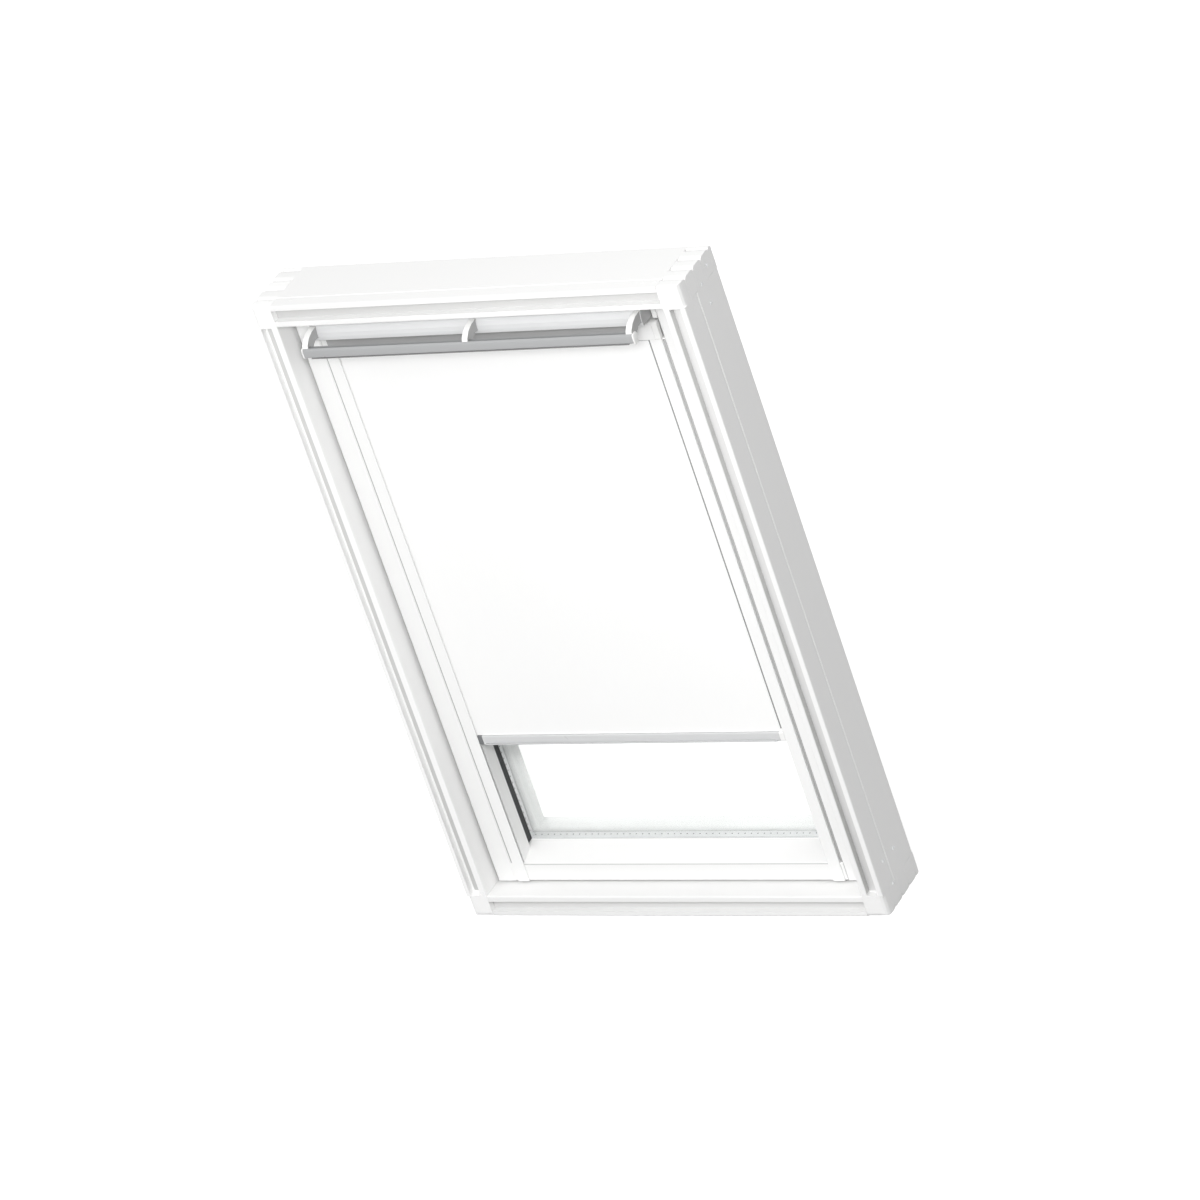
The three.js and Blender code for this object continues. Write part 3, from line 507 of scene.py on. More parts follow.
# %% [markdown]
# **Coated and bare metals.** The channels and the casing are white powder coat. The control bar
# is a mid grey lacquer, the blind's slim bottom bar a paler one, and the flap is paler still. The
# covers outside are dark lacquer over sheet. Hardware is zinc plated, with zinc's cloudy tone.

# %% Metals
WHITE_COAT = (0.87, 0.87, 0.865)
BAR_GREY = (0.36, 0.365, 0.37)
SLIM_GREY = (0.60, 0.605, 0.61)
FLAP_GREY = (0.70, 0.705, 0.71)
CLADDING_GREY = (0.075, 0.082, 0.088)
ZINC_GREY = (0.56, 0.57, 0.58)
HAIR_LINE = 0.0005
HAIR_LIFT = 0.00001
SPECK_LIFT = 0.00003


def extruded(name, colour, roughness, coat):
    """Lacquered aluminium whose drawn lines run across the window."""
    return finish(name, colour, roughness, drawn, HAIR_LINE, HAIR_LIFT, turn=LEVEL, Coat_Weight=coat)


white_coat = finish("white_coat", WHITE_COAT, 0.38, speckle, 0.0009, SPECK_LIFT, wander=0.006)
bar_lacquer = extruded("bar_lacquer", BAR_GREY, 0.3, 0.3)
slim_lacquer = extruded("slim_bar_lacquer", SLIM_GREY, 0.3, 0.3)
flap_lacquer = extruded("flap_lacquer", FLAP_GREY, 0.34, 0.2)
cladding = finish(
    "cladding_lacquer", CLADDING_GREY, 0.42, speckle, 0.0011, SPECK_LIFT, wander=0.05, Metallic=0.2)
zinc = finish("zinc_plate", ZINC_GREY, 0.36, drawn, 0.0006, HAIR_LIFT, wander=0.06, Metallic=1.0)
print("metals:", [m.name for m in (white_coat, bar_lacquer, slim_lacquer, flap_lacquer, cladding, zinc)])

# %% [markdown]
# ** Plastics.** Moulded plastic is matt and finely sparked. It is white on the caps, mid grey on
# the arms and dark on the hidden parts. The lining behind the covers glows faintly, painted light
# that brightens it where it lies in shade behind the glass.

# %% Plastics
WHITE_MOULDING = (0.86, 0.86, 0.85)
LINING_GREY = (0.68, 0.68, 0.675)
ARM_GREY = (0.42, 0.42, 0.42)
DARK_MOULDING = (0.15, 0.155, 0.16)
PAINTED_LIGHT_COLOUR = (1, 1, 1, 1)
LINING_PAINTED_LIGHT = 0.2
MOULD_SPARK = 0.0006


def moulded(name, colour, roughness, wander, **sockets):
    """Plastic with the fine sparks of its mould."""
    return finish(name, colour, roughness, speckle, MOULD_SPARK, SPECK_LIFT, wander=wander, **sockets)


white_plastic = moulded("white_plastic", WHITE_MOULDING, 0.5, 0.01)
glowing_lining = moulded("painted_light_lining", LINING_GREY, 0.5, 0.01,
                      Emission_Color=PAINTED_LIGHT_COLOUR, Emission_Strength=LINING_PAINTED_LIGHT)
arm_plastic = moulded("arm_plastic", ARM_GREY, 0.5, 0.02)
grey_plastic = moulded("grey_plastic", DARK_MOULDING, 0.52, 0.04)
print("plastics:", [m.name for m in (white_plastic, glowing_lining, arm_plastic, grey_plastic)])

# %% [markdown]
# ** Rubber and foam.** Rubber is matt with a wide, weak shine. It is nearly black outside and
# grey round the sash, but the gasket that shows through the glass is pale, and it glows as well:
# painted light where it lies in shade behind the glass. The air filter is open foam, all pores.

# %% Rubber and foam
BLACK_RUBBER = (0.06, 0.06, 0.062)
GREY_RUBBER = (0.26, 0.26, 0.26)
PALE_RUBBER = (0.72, 0.72, 0.71)
FOAM_GREY = (0.24, 0.25, 0.25)
GASKET_PAINTED_LIGHT = 0.55
RUBBER_SPECK = 0.0005
FOAM_PORE = 0.0022
FOAM_DEPTH = 0.0008


def cured(name, colour, roughness, wander, **sockets):
    """Rubber with a fine skin."""
    return finish(name, colour, roughness, speckle, RUBBER_SPECK, SPECK_LIFT, wander=wander, **sockets)


rubber = cured("black_rubber", BLACK_RUBBER, 0.62, 0.15)
seal_rubber = cured("seal_rubber", GREY_RUBBER, 0.7, 0.1)
pale_rubber = cured("pale_rubber", PALE_RUBBER, 0.6, 0.03,
                    Emission_Color=PAINTED_LIGHT_COLOUR, Emission_Strength=GASKET_PAINTED_LIGHT)
foam = finish("filter_foam", FOAM_GREY, 0.95, speckle, FOAM_PORE, FOAM_DEPTH, wander=0.25)
print("rubbers and foam:", [m.name for m in (rubber, seal_rubber, pale_rubber, foam)])

# %% [markdown]
# **Cloth.** Blackout cloth is matt, white and tight. A little sheen lifts its edge, as fine
# yarn does.

# %% Blind cloth
CLOTH_WHITE = (0.93, 0.93, 0.925)
YARN_PITCH = 0.0007
YARN_LIFT = 0.00002

cloth = finish(
    "blind_cloth", CLOTH_WHITE, 0.85, weave, YARN_PITCH, YARN_LIFT, wander=0.008, Sheen_Weight=0.15)
print("cloth:", cloth.name)

# %% [markdown]
# **Glass and spacer.** Float glass is clear with a trace of green. The spacer is bright metal
# with its row of holes, which darken its colour and dull it.

# %% Glass
GLASS_TINT = (0.985, 0.994, 0.99, 1)
GLASS_IOR = 1.5
GLASS_SMEAR = 0.03
SMEAR_SCALE = 6.0

glass = bpy.data.materials.new("float_glass")
glass.use_nodes = True
glass_shader = glass.node_tree.nodes["Principled BSDF"]
glass_shader.inputs["Base Color"].default_value = GLASS_TINT
glass_shader.inputs["Transmission Weight"].default_value = 1.0
glass_shader.inputs["IOR"].default_value = GLASS_IOR
glass_place = glass.node_tree.nodes.new("ShaderNodeTexCoord")
smear = noise(glass.node_tree, glass_place.outputs["Object"], SMEAR_SCALE, detail=3)
smear_range = glass.node_tree.nodes.new("ShaderNodeMapRange")
smear_range.inputs["To Min"].default_value = 0.0
smear_range.inputs["To Max"].default_value = GLASS_SMEAR
glass.node_tree.links.new(smear, smear_range.inputs["Value"])
glass.node_tree.links.new(smear_range.outputs["Result"], glass_shader.inputs["Roughness"])
for pane in ("inner_pane", "outer_pane"):
    nodes[pane].visible_shadow = False
print("glass:", glass.name)

# %% Spacer with its row of holes
SPACER_BRIGHT = (0.91, 0.915, 0.92)
HOLE_DARK = (0.02, 0.02, 0.02, 1)
SPACER_MIDDLE = sum(corner.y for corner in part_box("pane_spacer")) / 2

spacer_metal = finish("spacer_metal", SPACER_BRIGHT, 0.3, drawn, HAIR_LINE, HAIR_LIFT, Metallic=1.0)
tree = spacer_metal.node_tree
pin_holes = tree.nodes.new("ShaderNodeGroup")
pin_holes.node_tree = holes
pin_holes.inputs["Middle"].default_value = SPACER_MIDDLE
tree.links.new(tree.nodes["Texture Coordinate"].outputs["Object"], pin_holes.inputs["Vector"])
hole_mix = tree.nodes.new("ShaderNodeMix")
hole_mix.data_type = "RGBA"
spacer_shader = tree.nodes["Principled BSDF"]
tree.links.new(pin_holes.outputs["Mask"], hole_mix.inputs["Factor"])
tree.links.new(spacer_shader.inputs["Base Color"].links[0].from_socket, hole_mix.inputs["A"])
hole_mix.inputs["B"].default_value = HOLE_DARK
tree.links.new(hole_mix.outputs["Result"], spacer_shader.inputs["Base Color"])
print("spacer:", spacer_metal.name)

# %% [markdown]
# ## Dress the ready-made nodes
# The record lists a material slot for every node, so one table from slot to finish dresses all
# of them. Boards that run across take the turned grain instead. The bottom bar has a paler lacquer
# of its own, and the frame's left member a brighter white, which is painted light in its shaded reveal.

# %% Give every node its finish
slot_finish = {
    "painted_wood": paint_upright,
    "white_aluminium": white_coat,
    "bar_aluminium": bar_lacquer,
    "flap_aluminium": flap_lacquer,
    "white_plastic": white_plastic,
    "arm_plastic": arm_plastic,
    "pale_rubber": pale_rubber,
    "grey_plastic": grey_plastic,
    "zinc_steel": zinc,
    "spacer_aluminium": spacer_metal,
    "pane_glass": glass,
    "black_rubber": rubber,
    "grey_seal": seal_rubber,
    "grey_cladding": cladding,
    "filter_foam": foam,
    "blind_cloth": cloth,
}
boards_across = ("frame_top_member", "frame_bottom_member", "sash_top_rail", "sash_bottom_rail")
for row in frame["record"]["subparts"]:
    node = nodes[row["node"]]
    node.data.materials.clear()
    usual = slot_finish[row["material_slot"]]
    node.data.materials.append(paint_level if node.name in boards_across else usual)
nodes["bottom_bar"].data.materials[0] = slim_lacquer
# The left member's brighter white is painted light in its shaded reveal.
nodes["frame_left_member"].data.materials[0] = painted_light_paint

# %% [markdown]
# ## Helpers for modelling
# Every new piece starts as a primitive at its own size and place, and its place is then put in
# the mesh, so that the object sits at the origin.

# %% Start a piece
SEAT = 0.0002


def settle(piece, name):
    """Names a new primitive and puts its place in its mesh."""
    piece.name = name
    piece.data.name = name
    bpy.ops.object.transform_apply(location=True, rotation=True, scale=True)
    return piece


def box_between(name, low, high):
    """A box between two corners."""
    bpy.ops.object.select_all(action="DESELECT")
    low, high = Vector(low), Vector(high)
    bpy.ops.mesh.primitive_cube_add(size=1, location=(low + high) / 2)
    bpy.context.object.scale = high - low
    return settle(bpy.context.object, name)


def rod(name, middle, radius, length, turn=(0, 0, 0), sides=32):
    """A round bar, along Z unless it is turned."""
    bpy.ops.object.select_all(action="DESELECT")
    bpy.ops.mesh.primitive_cylinder_add(
        vertices=sides, radius=radius, depth=length, location=middle, rotation=turn)
    return settle(bpy.context.object, name)


print("plates and strips sink", SEAT, "m into what carries them")

# %% [markdown]
# Faces and edges are picked in code, by where they are or which way they look, and the edit-mode
# operators do the shaping. A face looks along an axis when that part of its normal is above a
# fixed share. Most new pieces get rounded edges, because no real edge is perfectly sharp.

# %% Pick and shape
FACING = 0.9
FINE_EDGE = 0.0003
SOFT_EDGE = 0.0004


def pick(piece, faces=None, edges=None, vertices=None):
    """In edit mode, selects what a test on the middle (and a face's normal) accepts."""
    mode = "FACE" if faces else "EDGE" if edges else "VERT"
    bpy.ops.mesh.select_mode(type=mode)
    bpy.ops.mesh.select_all(action="DESELECT")
    mesh = bmesh.from_edit_mesh(piece.data)
    if faces:
        chosen = [f for f in mesh.faces if faces(f.calc_center_median(), f.normal)]
    elif edges:
        chosen = [e for e in mesh.edges if edges((e.verts[0].co + e.verts[1].co) / 2,
                                                  (e.verts[1].co - e.verts[0].co).normalized())]
    else:
        chosen = [v for v in mesh.verts if vertices(v.co)]
    for element in chosen:
        element.select = True
    mesh.select_flush_mode()
    bmesh.update_edit_mesh(piece.data)
    return len(chosen)


def edit(piece):
    """Opens one piece in edit mode."""
    bpy.ops.object.select_all(action="DESELECT")
    piece.select_set(True)
    bpy.context.view_layer.objects.active = piece
    bpy.ops.object.mode_set(mode="EDIT")


def leave():
    """Goes back to object mode."""
    bpy.ops.object.mode_set(mode="OBJECT")


def apply_modifiers(piece):
    """Turns a piece's modifiers into plain mesh."""
    bpy.ops.object.select_all(action="DESELECT")
    piece.select_set(True)
    bpy.context.view_layer.objects.active = piece
    for modifier in list(piece.modifiers):
        bpy.ops.object.modifier_apply(modifier=modifier.name)


def soften(piece, width, segments=2):
    """Rounds every sharp edge with a bevel modifier and applies it."""
    modifier = piece.modifiers.new("soft_edges", "BEVEL")
    modifier.width = width
    modifier.segments = segments
    modifier.limit_method = "ANGLE"
    apply_modifiers(piece)


print("usual rounding:", FINE_EDGE, "and", SOFT_EDGE, "m")

# %% [markdown]
# A finished piece is shaded, gets its finish and a material slot, and rides on the body that
# moves it. Two more helpers make pieces from what is there: a moved copy of a pattern, and a thin
# skin over some faces of a ready-made node. The node's mesh is loose triangles, so its copy is
# merged before it is cut, and Solidify gives the skin its thickness.

# %% Finish and copy a piece
CREASE_ANGLE = math.radians(35)
WELD = 0.00001


def complete(piece, material, body):
    """Shades the piece, gives it its finish, and lets it ride on its body."""
    bpy.ops.object.select_all(action="DESELECT")
    piece.select_set(True)
    bpy.context.view_layer.objects.active = piece
    bpy.ops.object.shade_smooth_by_angle(angle=CREASE_ANGLE)
    piece.data.materials.clear()
    piece.data.materials.append(material)
    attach(piece, body)
    return piece


def copy_of(pattern, name, matrix):
    """A copy of a pattern piece with its own mesh, moved in the mesh."""
    copied = bpy.data.objects.new(name, pattern.data.copy())
    copied.data.transform(matrix)
    if matrix.determinant() < 0:
        copied.data.flip_normals()
    bpy.context.scene.collection.objects.link(copied)
    return copied


def skin_of(node, name, thickness, covered):
    """A thin skin over the faces of a node that the test accepts, and their number."""
    skin = copy_of(nodes[node], name, Matrix())
    edit(skin)
    bpy.ops.mesh.select_all(action="SELECT")
    bpy.ops.mesh.remove_doubles(threshold=WELD)
    kept = pick(skin, faces=covered)
    bpy.ops.mesh.select_all(action="INVERT")
    bpy.ops.mesh.delete(type="FACE")
    leave()
    plate = skin.modifiers.new("plate", "SOLIDIFY")
    plate.thickness = thickness
    plate.offset = 1
    apply_modifiers(skin)
    return skin, kept


print("modelling helpers are ready")

# %% [markdown]
# ## The blind's cloth
# The real blind is one sheet of cloth that winds on a spring roller. A mesh can't wind, so the
# hanging part is two layers. The front one rides on the sash. The back one rides on the bottom
# bar, right behind it. Wherever the bar stands, the two together close the gap between casing and
# bar. Each starts as a fine grid with a faint ripple, as cloth under light tension has, and
# Solidify gives it its thickness.

# %% Hanging cloth
CLOTH_THICKNESS = 0.0004
LAYER_STEP = 0.0009
BACK_LAYER_HEIGHT = 0.692
RIPPLE = 0.00016
SHEET_CELLS = (48, 72)
WAVES_ACROSS = (7.3, 2.1)
WAVES_ALONG = (3, 11)
CALM_SHARE = 5


def hanging_sheet(name, low, high):
    """A thin rippled sheet that fills the box between two corners, in the middle of its depth."""
    bpy.ops.object.select_all(action="DESELECT")
    bpy.ops.mesh.primitive_grid_add(
        x_subdivisions=SHEET_CELLS[0], y_subdivisions=SHEET_CELLS[1], size=1, location=(low + high) / 2,
        rotation=(math.radians(90), 0, 0))
    sheet = bpy.context.object
    sheet.scale = (high.x - low.x, high.z - low.z, 1)
    settle(sheet, name)
    half = (high.x - low.x) / 2
    for vertex in sheet.data.vertices:
        x, z = vertex.co.x / half, (vertex.co.z - low.z) / (high.z - low.z)
        calm = min(1.0, CALM_SHARE * z, CALM_SHARE * (1 - z))
        wide = math.sin(WAVES_ACROSS[0] * x + WAVES_ACROSS[1] * z)
        narrow = math.sin(WAVES_ALONG[0] * x + WAVES_ALONG[1] * z)
        vertex.co.y += RIPPLE * calm * (wide + narrow / 2)
    solid = sheet.modifiers.new("thickness", "SOLIDIFY")
    solid.thickness = CLOTH_THICKNESS
    solid.offset = 0
    apply_modifiers(sheet)
    return sheet


cloth_low, cloth_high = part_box("blind_fabric")
front_cloth = hanging_sheet("cloth_front", cloth_low, cloth_high)
step = Vector((0, LAYER_STEP, 0))
back_top = Vector((cloth_high.x, cloth_high.y, cloth_low.z + BACK_LAYER_HEIGHT))
back_cloth = hanging_sheet("cloth_back", cloth_low + step, back_top + step)
for sheet, body, anchor in ((front_cloth, "sash", cloth_high), (back_cloth, "blind_bar", cloth_low)):
    complete(sheet, cloth, body)
    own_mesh(sheet)
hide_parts("blind_fabric")

# %% [markdown]
# **Cloth on the roller.** The wound cloth is a sleeve whose ends show its turns as fine rings.
# An open cylinder gets its wall from Solidify, and insets at both ends cut the rings.

# %% Wound cloth
ROLL_WALL = 0.0009
RING_WIDTH = 0.00025
RING_DEPTH = 0.0006

roll_low, roll_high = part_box("fabric_roll")
roll_radius = (roll_high.z - roll_low.z) / 2
bpy.ops.object.select_all(action="DESELECT")
bpy.ops.mesh.primitive_cylinder_add(
    vertices=48, radius=roll_radius, depth=roll_high.x - roll_low.x, end_fill_type="NOTHING",
    location=(roll_low + roll_high) / 2, rotation=(0, math.radians(90), 0))
wound = settle(bpy.context.object, "cloth_on_roll")
wall = wound.modifiers.new("wall", "SOLIDIFY")
wall.thickness = ROLL_WALL
wall.offset = -1
apply_modifiers(wound)
edit(wound)
rings = pick(wound, faces=lambda middle, normal: abs(normal.x) > FACING)
bpy.ops.mesh.inset(thickness=RING_WIDTH, depth=-RING_DEPTH)
leave()
complete(wound, cloth, "roller")
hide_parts("fabric_roll")
print("end faces of the roll:", rings)

# %% [markdown]
# ## Seals round the sash
# An extruded seal is a foot in a groove and a thin lip that bends against the frame. Each one
# starts as a box over its ready-made node. Its outer face is inset and pulled out for the lip.

# %% Lipped seals
LIP_INSET = 0.0028
LIP_REACH = 0.0008


def lipped(name, node, out):
    """A seal in the node's box with a lip that stands out along the direction out."""
    low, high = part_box(node)
    piece = box_between(name, low, high)
    way = Vector(out)
    edit(piece)
    pick(piece, faces=lambda middle, normal: normal.dot(way) > FACING)
    bpy.ops.mesh.inset(thickness=LIP_INSET)
    bpy.ops.mesh.extrude_region_move(TRANSFORM_OT_translate={"value": way * LIP_REACH})
    leave()
    soften(piece, FINE_EDGE)
    return piece


seal_rows = {
    "seal_top": (0, 0, 1), "seal_bottom": (0, 0, -1),
    "seal_left_upper": (-1, 0, 0), "seal_left_lower": (-1, 0, 0),
    "seal_right_upper": (1, 0, 0), "seal_right_lower": (1, 0, 0),
}
for node, out in seal_rows.items():
    seal = lipped("lip_" + node, node, out)
    complete(seal, seal_rubber, "sash")
    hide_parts(node)
print("seals:", len(seal_rows))

# %% [markdown]
# **Gaskets.** The panes sit between two gaskets, a pale one towards the room and a black one
# towards the roof. Seen from either side each is a thin line with a rounded lip on the glass. A
# flat ring is a plane with an inset middle that is deleted; extruding the ring closes it, and its
# inner edge is rounded into the lip.

# %% Gaskets of the glazing
GASKET_WIDTH = 0.010
GASKET_LIP = 0.0007


def flat_ring(name, low, high, width):
    """A closed rectangular ring between two corners, open along Y."""
    bpy.ops.object.select_all(action="DESELECT")
    middle = Vector(((low.x + high.x) / 2, low.y, (low.z + high.z) / 2))
    bpy.ops.mesh.primitive_plane_add(size=1, location=middle, rotation=(math.radians(90), 0, 0))
    bpy.context.object.scale = (high.x - low.x, high.z - low.z, 1)
    piece = settle(bpy.context.object, name)
    edit(piece)
    bpy.ops.mesh.select_mode(type="FACE")
    bpy.ops.mesh.select_all(action="SELECT")
    bpy.ops.mesh.inset(thickness=width)
    bpy.ops.mesh.delete(type="FACE")
    bpy.ops.mesh.select_all(action="SELECT")
    bpy.ops.mesh.extrude_region_move(TRANSFORM_OT_translate={"value": (0, high.y - low.y, 0)})
    bpy.ops.mesh.select_all(action="SELECT")
    bpy.ops.mesh.normals_make_consistent(inside=False)
    leave()
    return piece


for node, material, slot in (("inner_gasket", pale_rubber, "pale_rubber"),
                             ("outer_gasket", rubber, "black_rubber")):
    low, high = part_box(node)
    gasket = flat_ring("lip_" + node, low, high, GASKET_WIDTH)
    soften(gasket, GASKET_LIP, segments=3)
    complete(gasket, material, "sash")
    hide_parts(node)
print("gaskets:", GASKET_WIDTH, "m wide")

# %% [markdown]
# **Channel seals.** A black foam strip closes the space between each side channel and the
# glass, so no light gets round the cloth. It is grooved along its length, as such strips are.

# %% Seals behind the channels
SEAL_RIM = 0.003
SEAL_GROOVE = 0.0012
SEAL_DISH = 0.0008

for side, way in (("left", Vector((1, 0, 0))), ("right", Vector((-1, 0, 0)))):
    node = "channel_seal_" + side
    strip = box_between("grooved_" + node, *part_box(node))
    edit(strip)
    pick(strip, faces=lambda middle, normal: normal.dot(way) < -FACING)
    bpy.ops.mesh.inset(thickness=SEAL_RIM, depth=-SEAL_GROOVE)
    pick(strip, faces=lambda middle, normal: normal.dot(way) > FACING)
    bpy.ops.mesh.inset(thickness=SEAL_RIM, depth=-SEAL_DISH)
    leave()
    soften(strip, SOFT_EDGE)
    complete(strip, rubber, "sash")
    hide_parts(node)
print("channel seals: grooves", SEAL_GROOVE, "m deep")

# %% [markdown]
# ## Air filter
# Behind the ventilation flap lies a pleated filter. A box is cut into many narrow columns, and
# every second column's front is pushed back.

# %% Pleated filter
PLEATS = 100
PLEAT_DEPTH = 0.0022
FRONT_REACH = 0.001

filter_low, filter_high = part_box("air_filter")
pleated = box_between("pleated_filter", filter_low, filter_high)
edit(pleated)
pick(pleated, edges=lambda middle, along: abs(along.x) > FACING)
bpy.ops.mesh.subdivide(number_cuts=PLEATS - 1)
pleat_step = (filter_high.x - filter_low.x) / PLEATS
moved = pick(pleated, vertices=lambda co: co.y < filter_low.y + FRONT_REACH
             and round((co.x - filter_low.x) / pleat_step) % 2 == 1)
bpy.ops.transform.translate(value=(0, PLEAT_DEPTH, 0))
leave()
complete(pleated, foam, "sash")
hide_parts("air_filter")
print("pleat points moved:", moved)

# %% [markdown]
# ## Screws
# One countersunk screw head with a cross recess serves all over the window. A short cylinder
# gets a bevelled rim. A boolean cuts the cross with two thin boxes. Copies of its mesh then go
# wherever the real window is screwed.

# %% One screw head
HEAD_RADIUS = 0.0038
HEAD_HEIGHT = 0.0012
RECESS_LENGTH = 0.0046
RECESS_WIDTH = 0.0009
RIM_BEVEL = 0.0005

screw_pattern = rod("screw_pattern", (0, 0, 0), HEAD_RADIUS, HEAD_HEIGHT, sides=24)
edit(screw_pattern)
pick(screw_pattern, edges=lambda middle, along: middle.z > HEAD_HEIGHT / 3 and abs(along.z) < 1 - FACING)
bpy.ops.mesh.bevel(offset=RIM_BEVEL, segments=2)
leave()
for turn in (0, math.radians(90)):
    cutter = box_between("cutter", (-RECESS_LENGTH / 2, -RECESS_WIDTH / 2, 0),
                         (RECESS_LENGTH / 2, RECESS_WIDTH / 2, HEAD_HEIGHT))
    cutter.rotation_euler.z = turn
    recess = screw_pattern.modifiers.new("recess", "BOOLEAN")
    recess.operation = "DIFFERENCE"
    recess.object = cutter
    apply_modifiers(screw_pattern)
    bpy.data.objects.remove(cutter)
print("screw head faces:", len(screw_pattern.data.polygons))

# %% [markdown]
# Each screw row below names where the head sits, which way it looks, and what it rides on. The
# head sinks into the surface so that only its rim and recess stand a fraction proud.

# %% A screw anywhere on the window
HEAD_PROUD = 0.00035


def screw(name, place, out, body, material=zinc, size=1.0, proud=HEAD_PROUD):
    """A screw head at place that looks along out."""
    turn = Vector(out).to_track_quat("Z", "Y").to_matrix().to_4x4()
    sink = Vector(out) * (proud - HEAD_HEIGHT * size / 2)
    seat = Matrix.Translation(Vector(place) + sink)
    head = copy_of(screw_pattern, name, seat @ turn @ Matrix.Scale(size, 4))
    return complete(head, material, body)


print("heads stand", HEAD_PROUD, "m proud")

# %% Screws and nails in the frame
SIDE_MARKS = ((0.0353, 1.1603), (0.0061, 1.1441), (0.0133, 1.1058),
              (-0.0285, 0.0854), (-0.0213, 0.0371), (0.0114, 0.0827))
TOP_MARKS = (-0.3586, -0.3200, 0.3201, 0.3411)
TOP_MARK_Y = -0.0440
SIDE_HEAD = 0.85
NAIL_HEAD = 0.7

for side, sign in (("left", -1), ("right", 1)):
    for index, (y, z) in enumerate(SIDE_MARKS):
        mark = (sign * frame_high.x, y, z)
        screw(f"frame_screw_{side}_{index}", mark, (sign, 0, 0), "frame", size=SIDE_HEAD)
for index, x in enumerate(TOP_MARKS):
    mark = (x, TOP_MARK_Y, frame_high.z)
    screw(f"frame_nail_top_{index}", mark, (0, 0, 1), "frame", white_plastic, size=NAIL_HEAD)
print("frame screws:", 2 * len(SIDE_MARKS), "and nails:", len(TOP_MARKS))

# %% Screws in the covers
COVER_SCREW_INSET = 0.012
COVER_SCREW_HEIGHTS = (0.22, 0.47, 0.71, 0.96)
COVER_SCREW_PLACES = (-0.31, -0.105, 0.105, 0.31)

cover_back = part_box("outer_cover_top")[1].y
cover_low, cover_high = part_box("outer_cover_bottom")[0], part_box("outer_cover_top")[1]
cover_line_x = cover_high.x - COVER_SCREW_INSET
for side, sign in (("left", -1), ("right", 1)):
    for index, z in enumerate(COVER_SCREW_HEIGHTS):
        screw(f"cover_screw_{side}_{index}", (sign * cover_line_x, cover_back, z), (0, 1, 0), "sash")
for end, z in (("top", cover_high.z - COVER_SCREW_INSET), ("bottom", cover_low.z + COVER_SCREW_INSET)):
    for index, x in enumerate(COVER_SCREW_PLACES):
        screw(f"cover_screw_{end}_{index}", (x, cover_back, z), (0, 1, 0), "sash")
print("cover screws:", 2 * len(COVER_SCREW_HEIGHTS) + 2 * len(COVER_SCREW_PLACES))

# %% Screws in the pivot plates, the striker and the lock case
PIVOT_Y = 0.016
PIVOT_Z = 0.59
PIVOT_SCREW_DROP = 0.040
PIVOT_SCREW_SUNK = 0.0006
PIVOT_SCREW_PROUD = 0.0008
STRIKER_SCREW_X = 0.022
LOCK_SCREW_X = 0.032

for side, sign in (("left", -1), ("right", 1)):
    plate_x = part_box("pivot_plate_" + side)[0 if sign > 0 else 1].x - sign * PIVOT_SCREW_SUNK
    for index, drop in enumerate((-PIVOT_SCREW_DROP, PIVOT_SCREW_DROP)):
        screw(f"pivot_screw_{side}_{index}", (plate_x, PIVOT_Y, PIVOT_Z + drop), (-sign, 0, 0), "frame",
              proud=PIVOT_SCREW_PROUD)
striker_low, striker_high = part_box("striker_plate")
case_low, case_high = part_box("lock_case")
striker_y, case_y = (striker_low.y + striker_high.y) / 2, (case_low.y + case_high.y) / 2
for index, sign in enumerate((-1, 1)):
    screw(f"striker_screw_{index}", (sign * STRIKER_SCREW_X, striker_y, striker_low.z), (0, 0, -1), "frame")
    screw(f"lock_screw_{index}", (sign * LOCK_SCREW_X, case_y, case_high.z), (0, 0, 1), "sash")
bpy.data.objects.remove(screw_pattern)
print("screws in pivot plates, striker and lock case: 8")

# %% [markdown]
# ## Control bar
# The bar is an extruded profile, so each end has a moulded cap, well rounded, with a slightly
# raised middle. A grey strip under the bar is painted shade along its lower edge.

# %% Bar ends
CAP_THICKNESS = 0.0022
CAP_OVERHANG = 0.0006
CAP_GAP = 0.0002
CAP_ROUND = 0.0045
CAP_RIM = 0.0016
CAP_RISE = 0.0004

bar_low, bar_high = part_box("control_bar")
for side, sign in (("left", -1), ("right", 1)):
    inner_x = bar_low.x if sign < 0 else bar_high.x
    ends = sorted((inner_x + sign * CAP_GAP, inner_x + sign * (CAP_THICKNESS + CAP_GAP)))
    cap = box_between(
        f"bar_cap_{side}", (ends[0], bar_low.y - CAP_OVERHANG, bar_low.z - CAP_OVERHANG),
        (ends[1], bar_high.y + CAP_OVERHANG, bar_high.z + CAP_OVERHANG))
    edit(cap)
    pick(cap, edges=lambda middle, along: abs(along.x) > FACING)
    bpy.ops.mesh.bevel(offset=CAP_ROUND, segments=5)
    pick(cap, faces=lambda middle, normal: normal.x * sign > FACING)
    bpy.ops.mesh.inset(thickness=CAP_RIM, depth=CAP_RISE)
    leave()
    soften(cap, SOFT_EDGE)
    complete(cap, white_plastic, "flap")
print("bar caps:", CAP_THICKNESS, "m thick")

# %% Painted shade strip under the bar
SHADE_STRIP_THICKNESS = 0.0015
SHADE_STRIP_SUNK = 0.0006
SHADE_STRIP_ROUND = 0.0012
SHADE_STRIP_MARGIN = 0.0012
SHADE_STRIP_END = 0.011
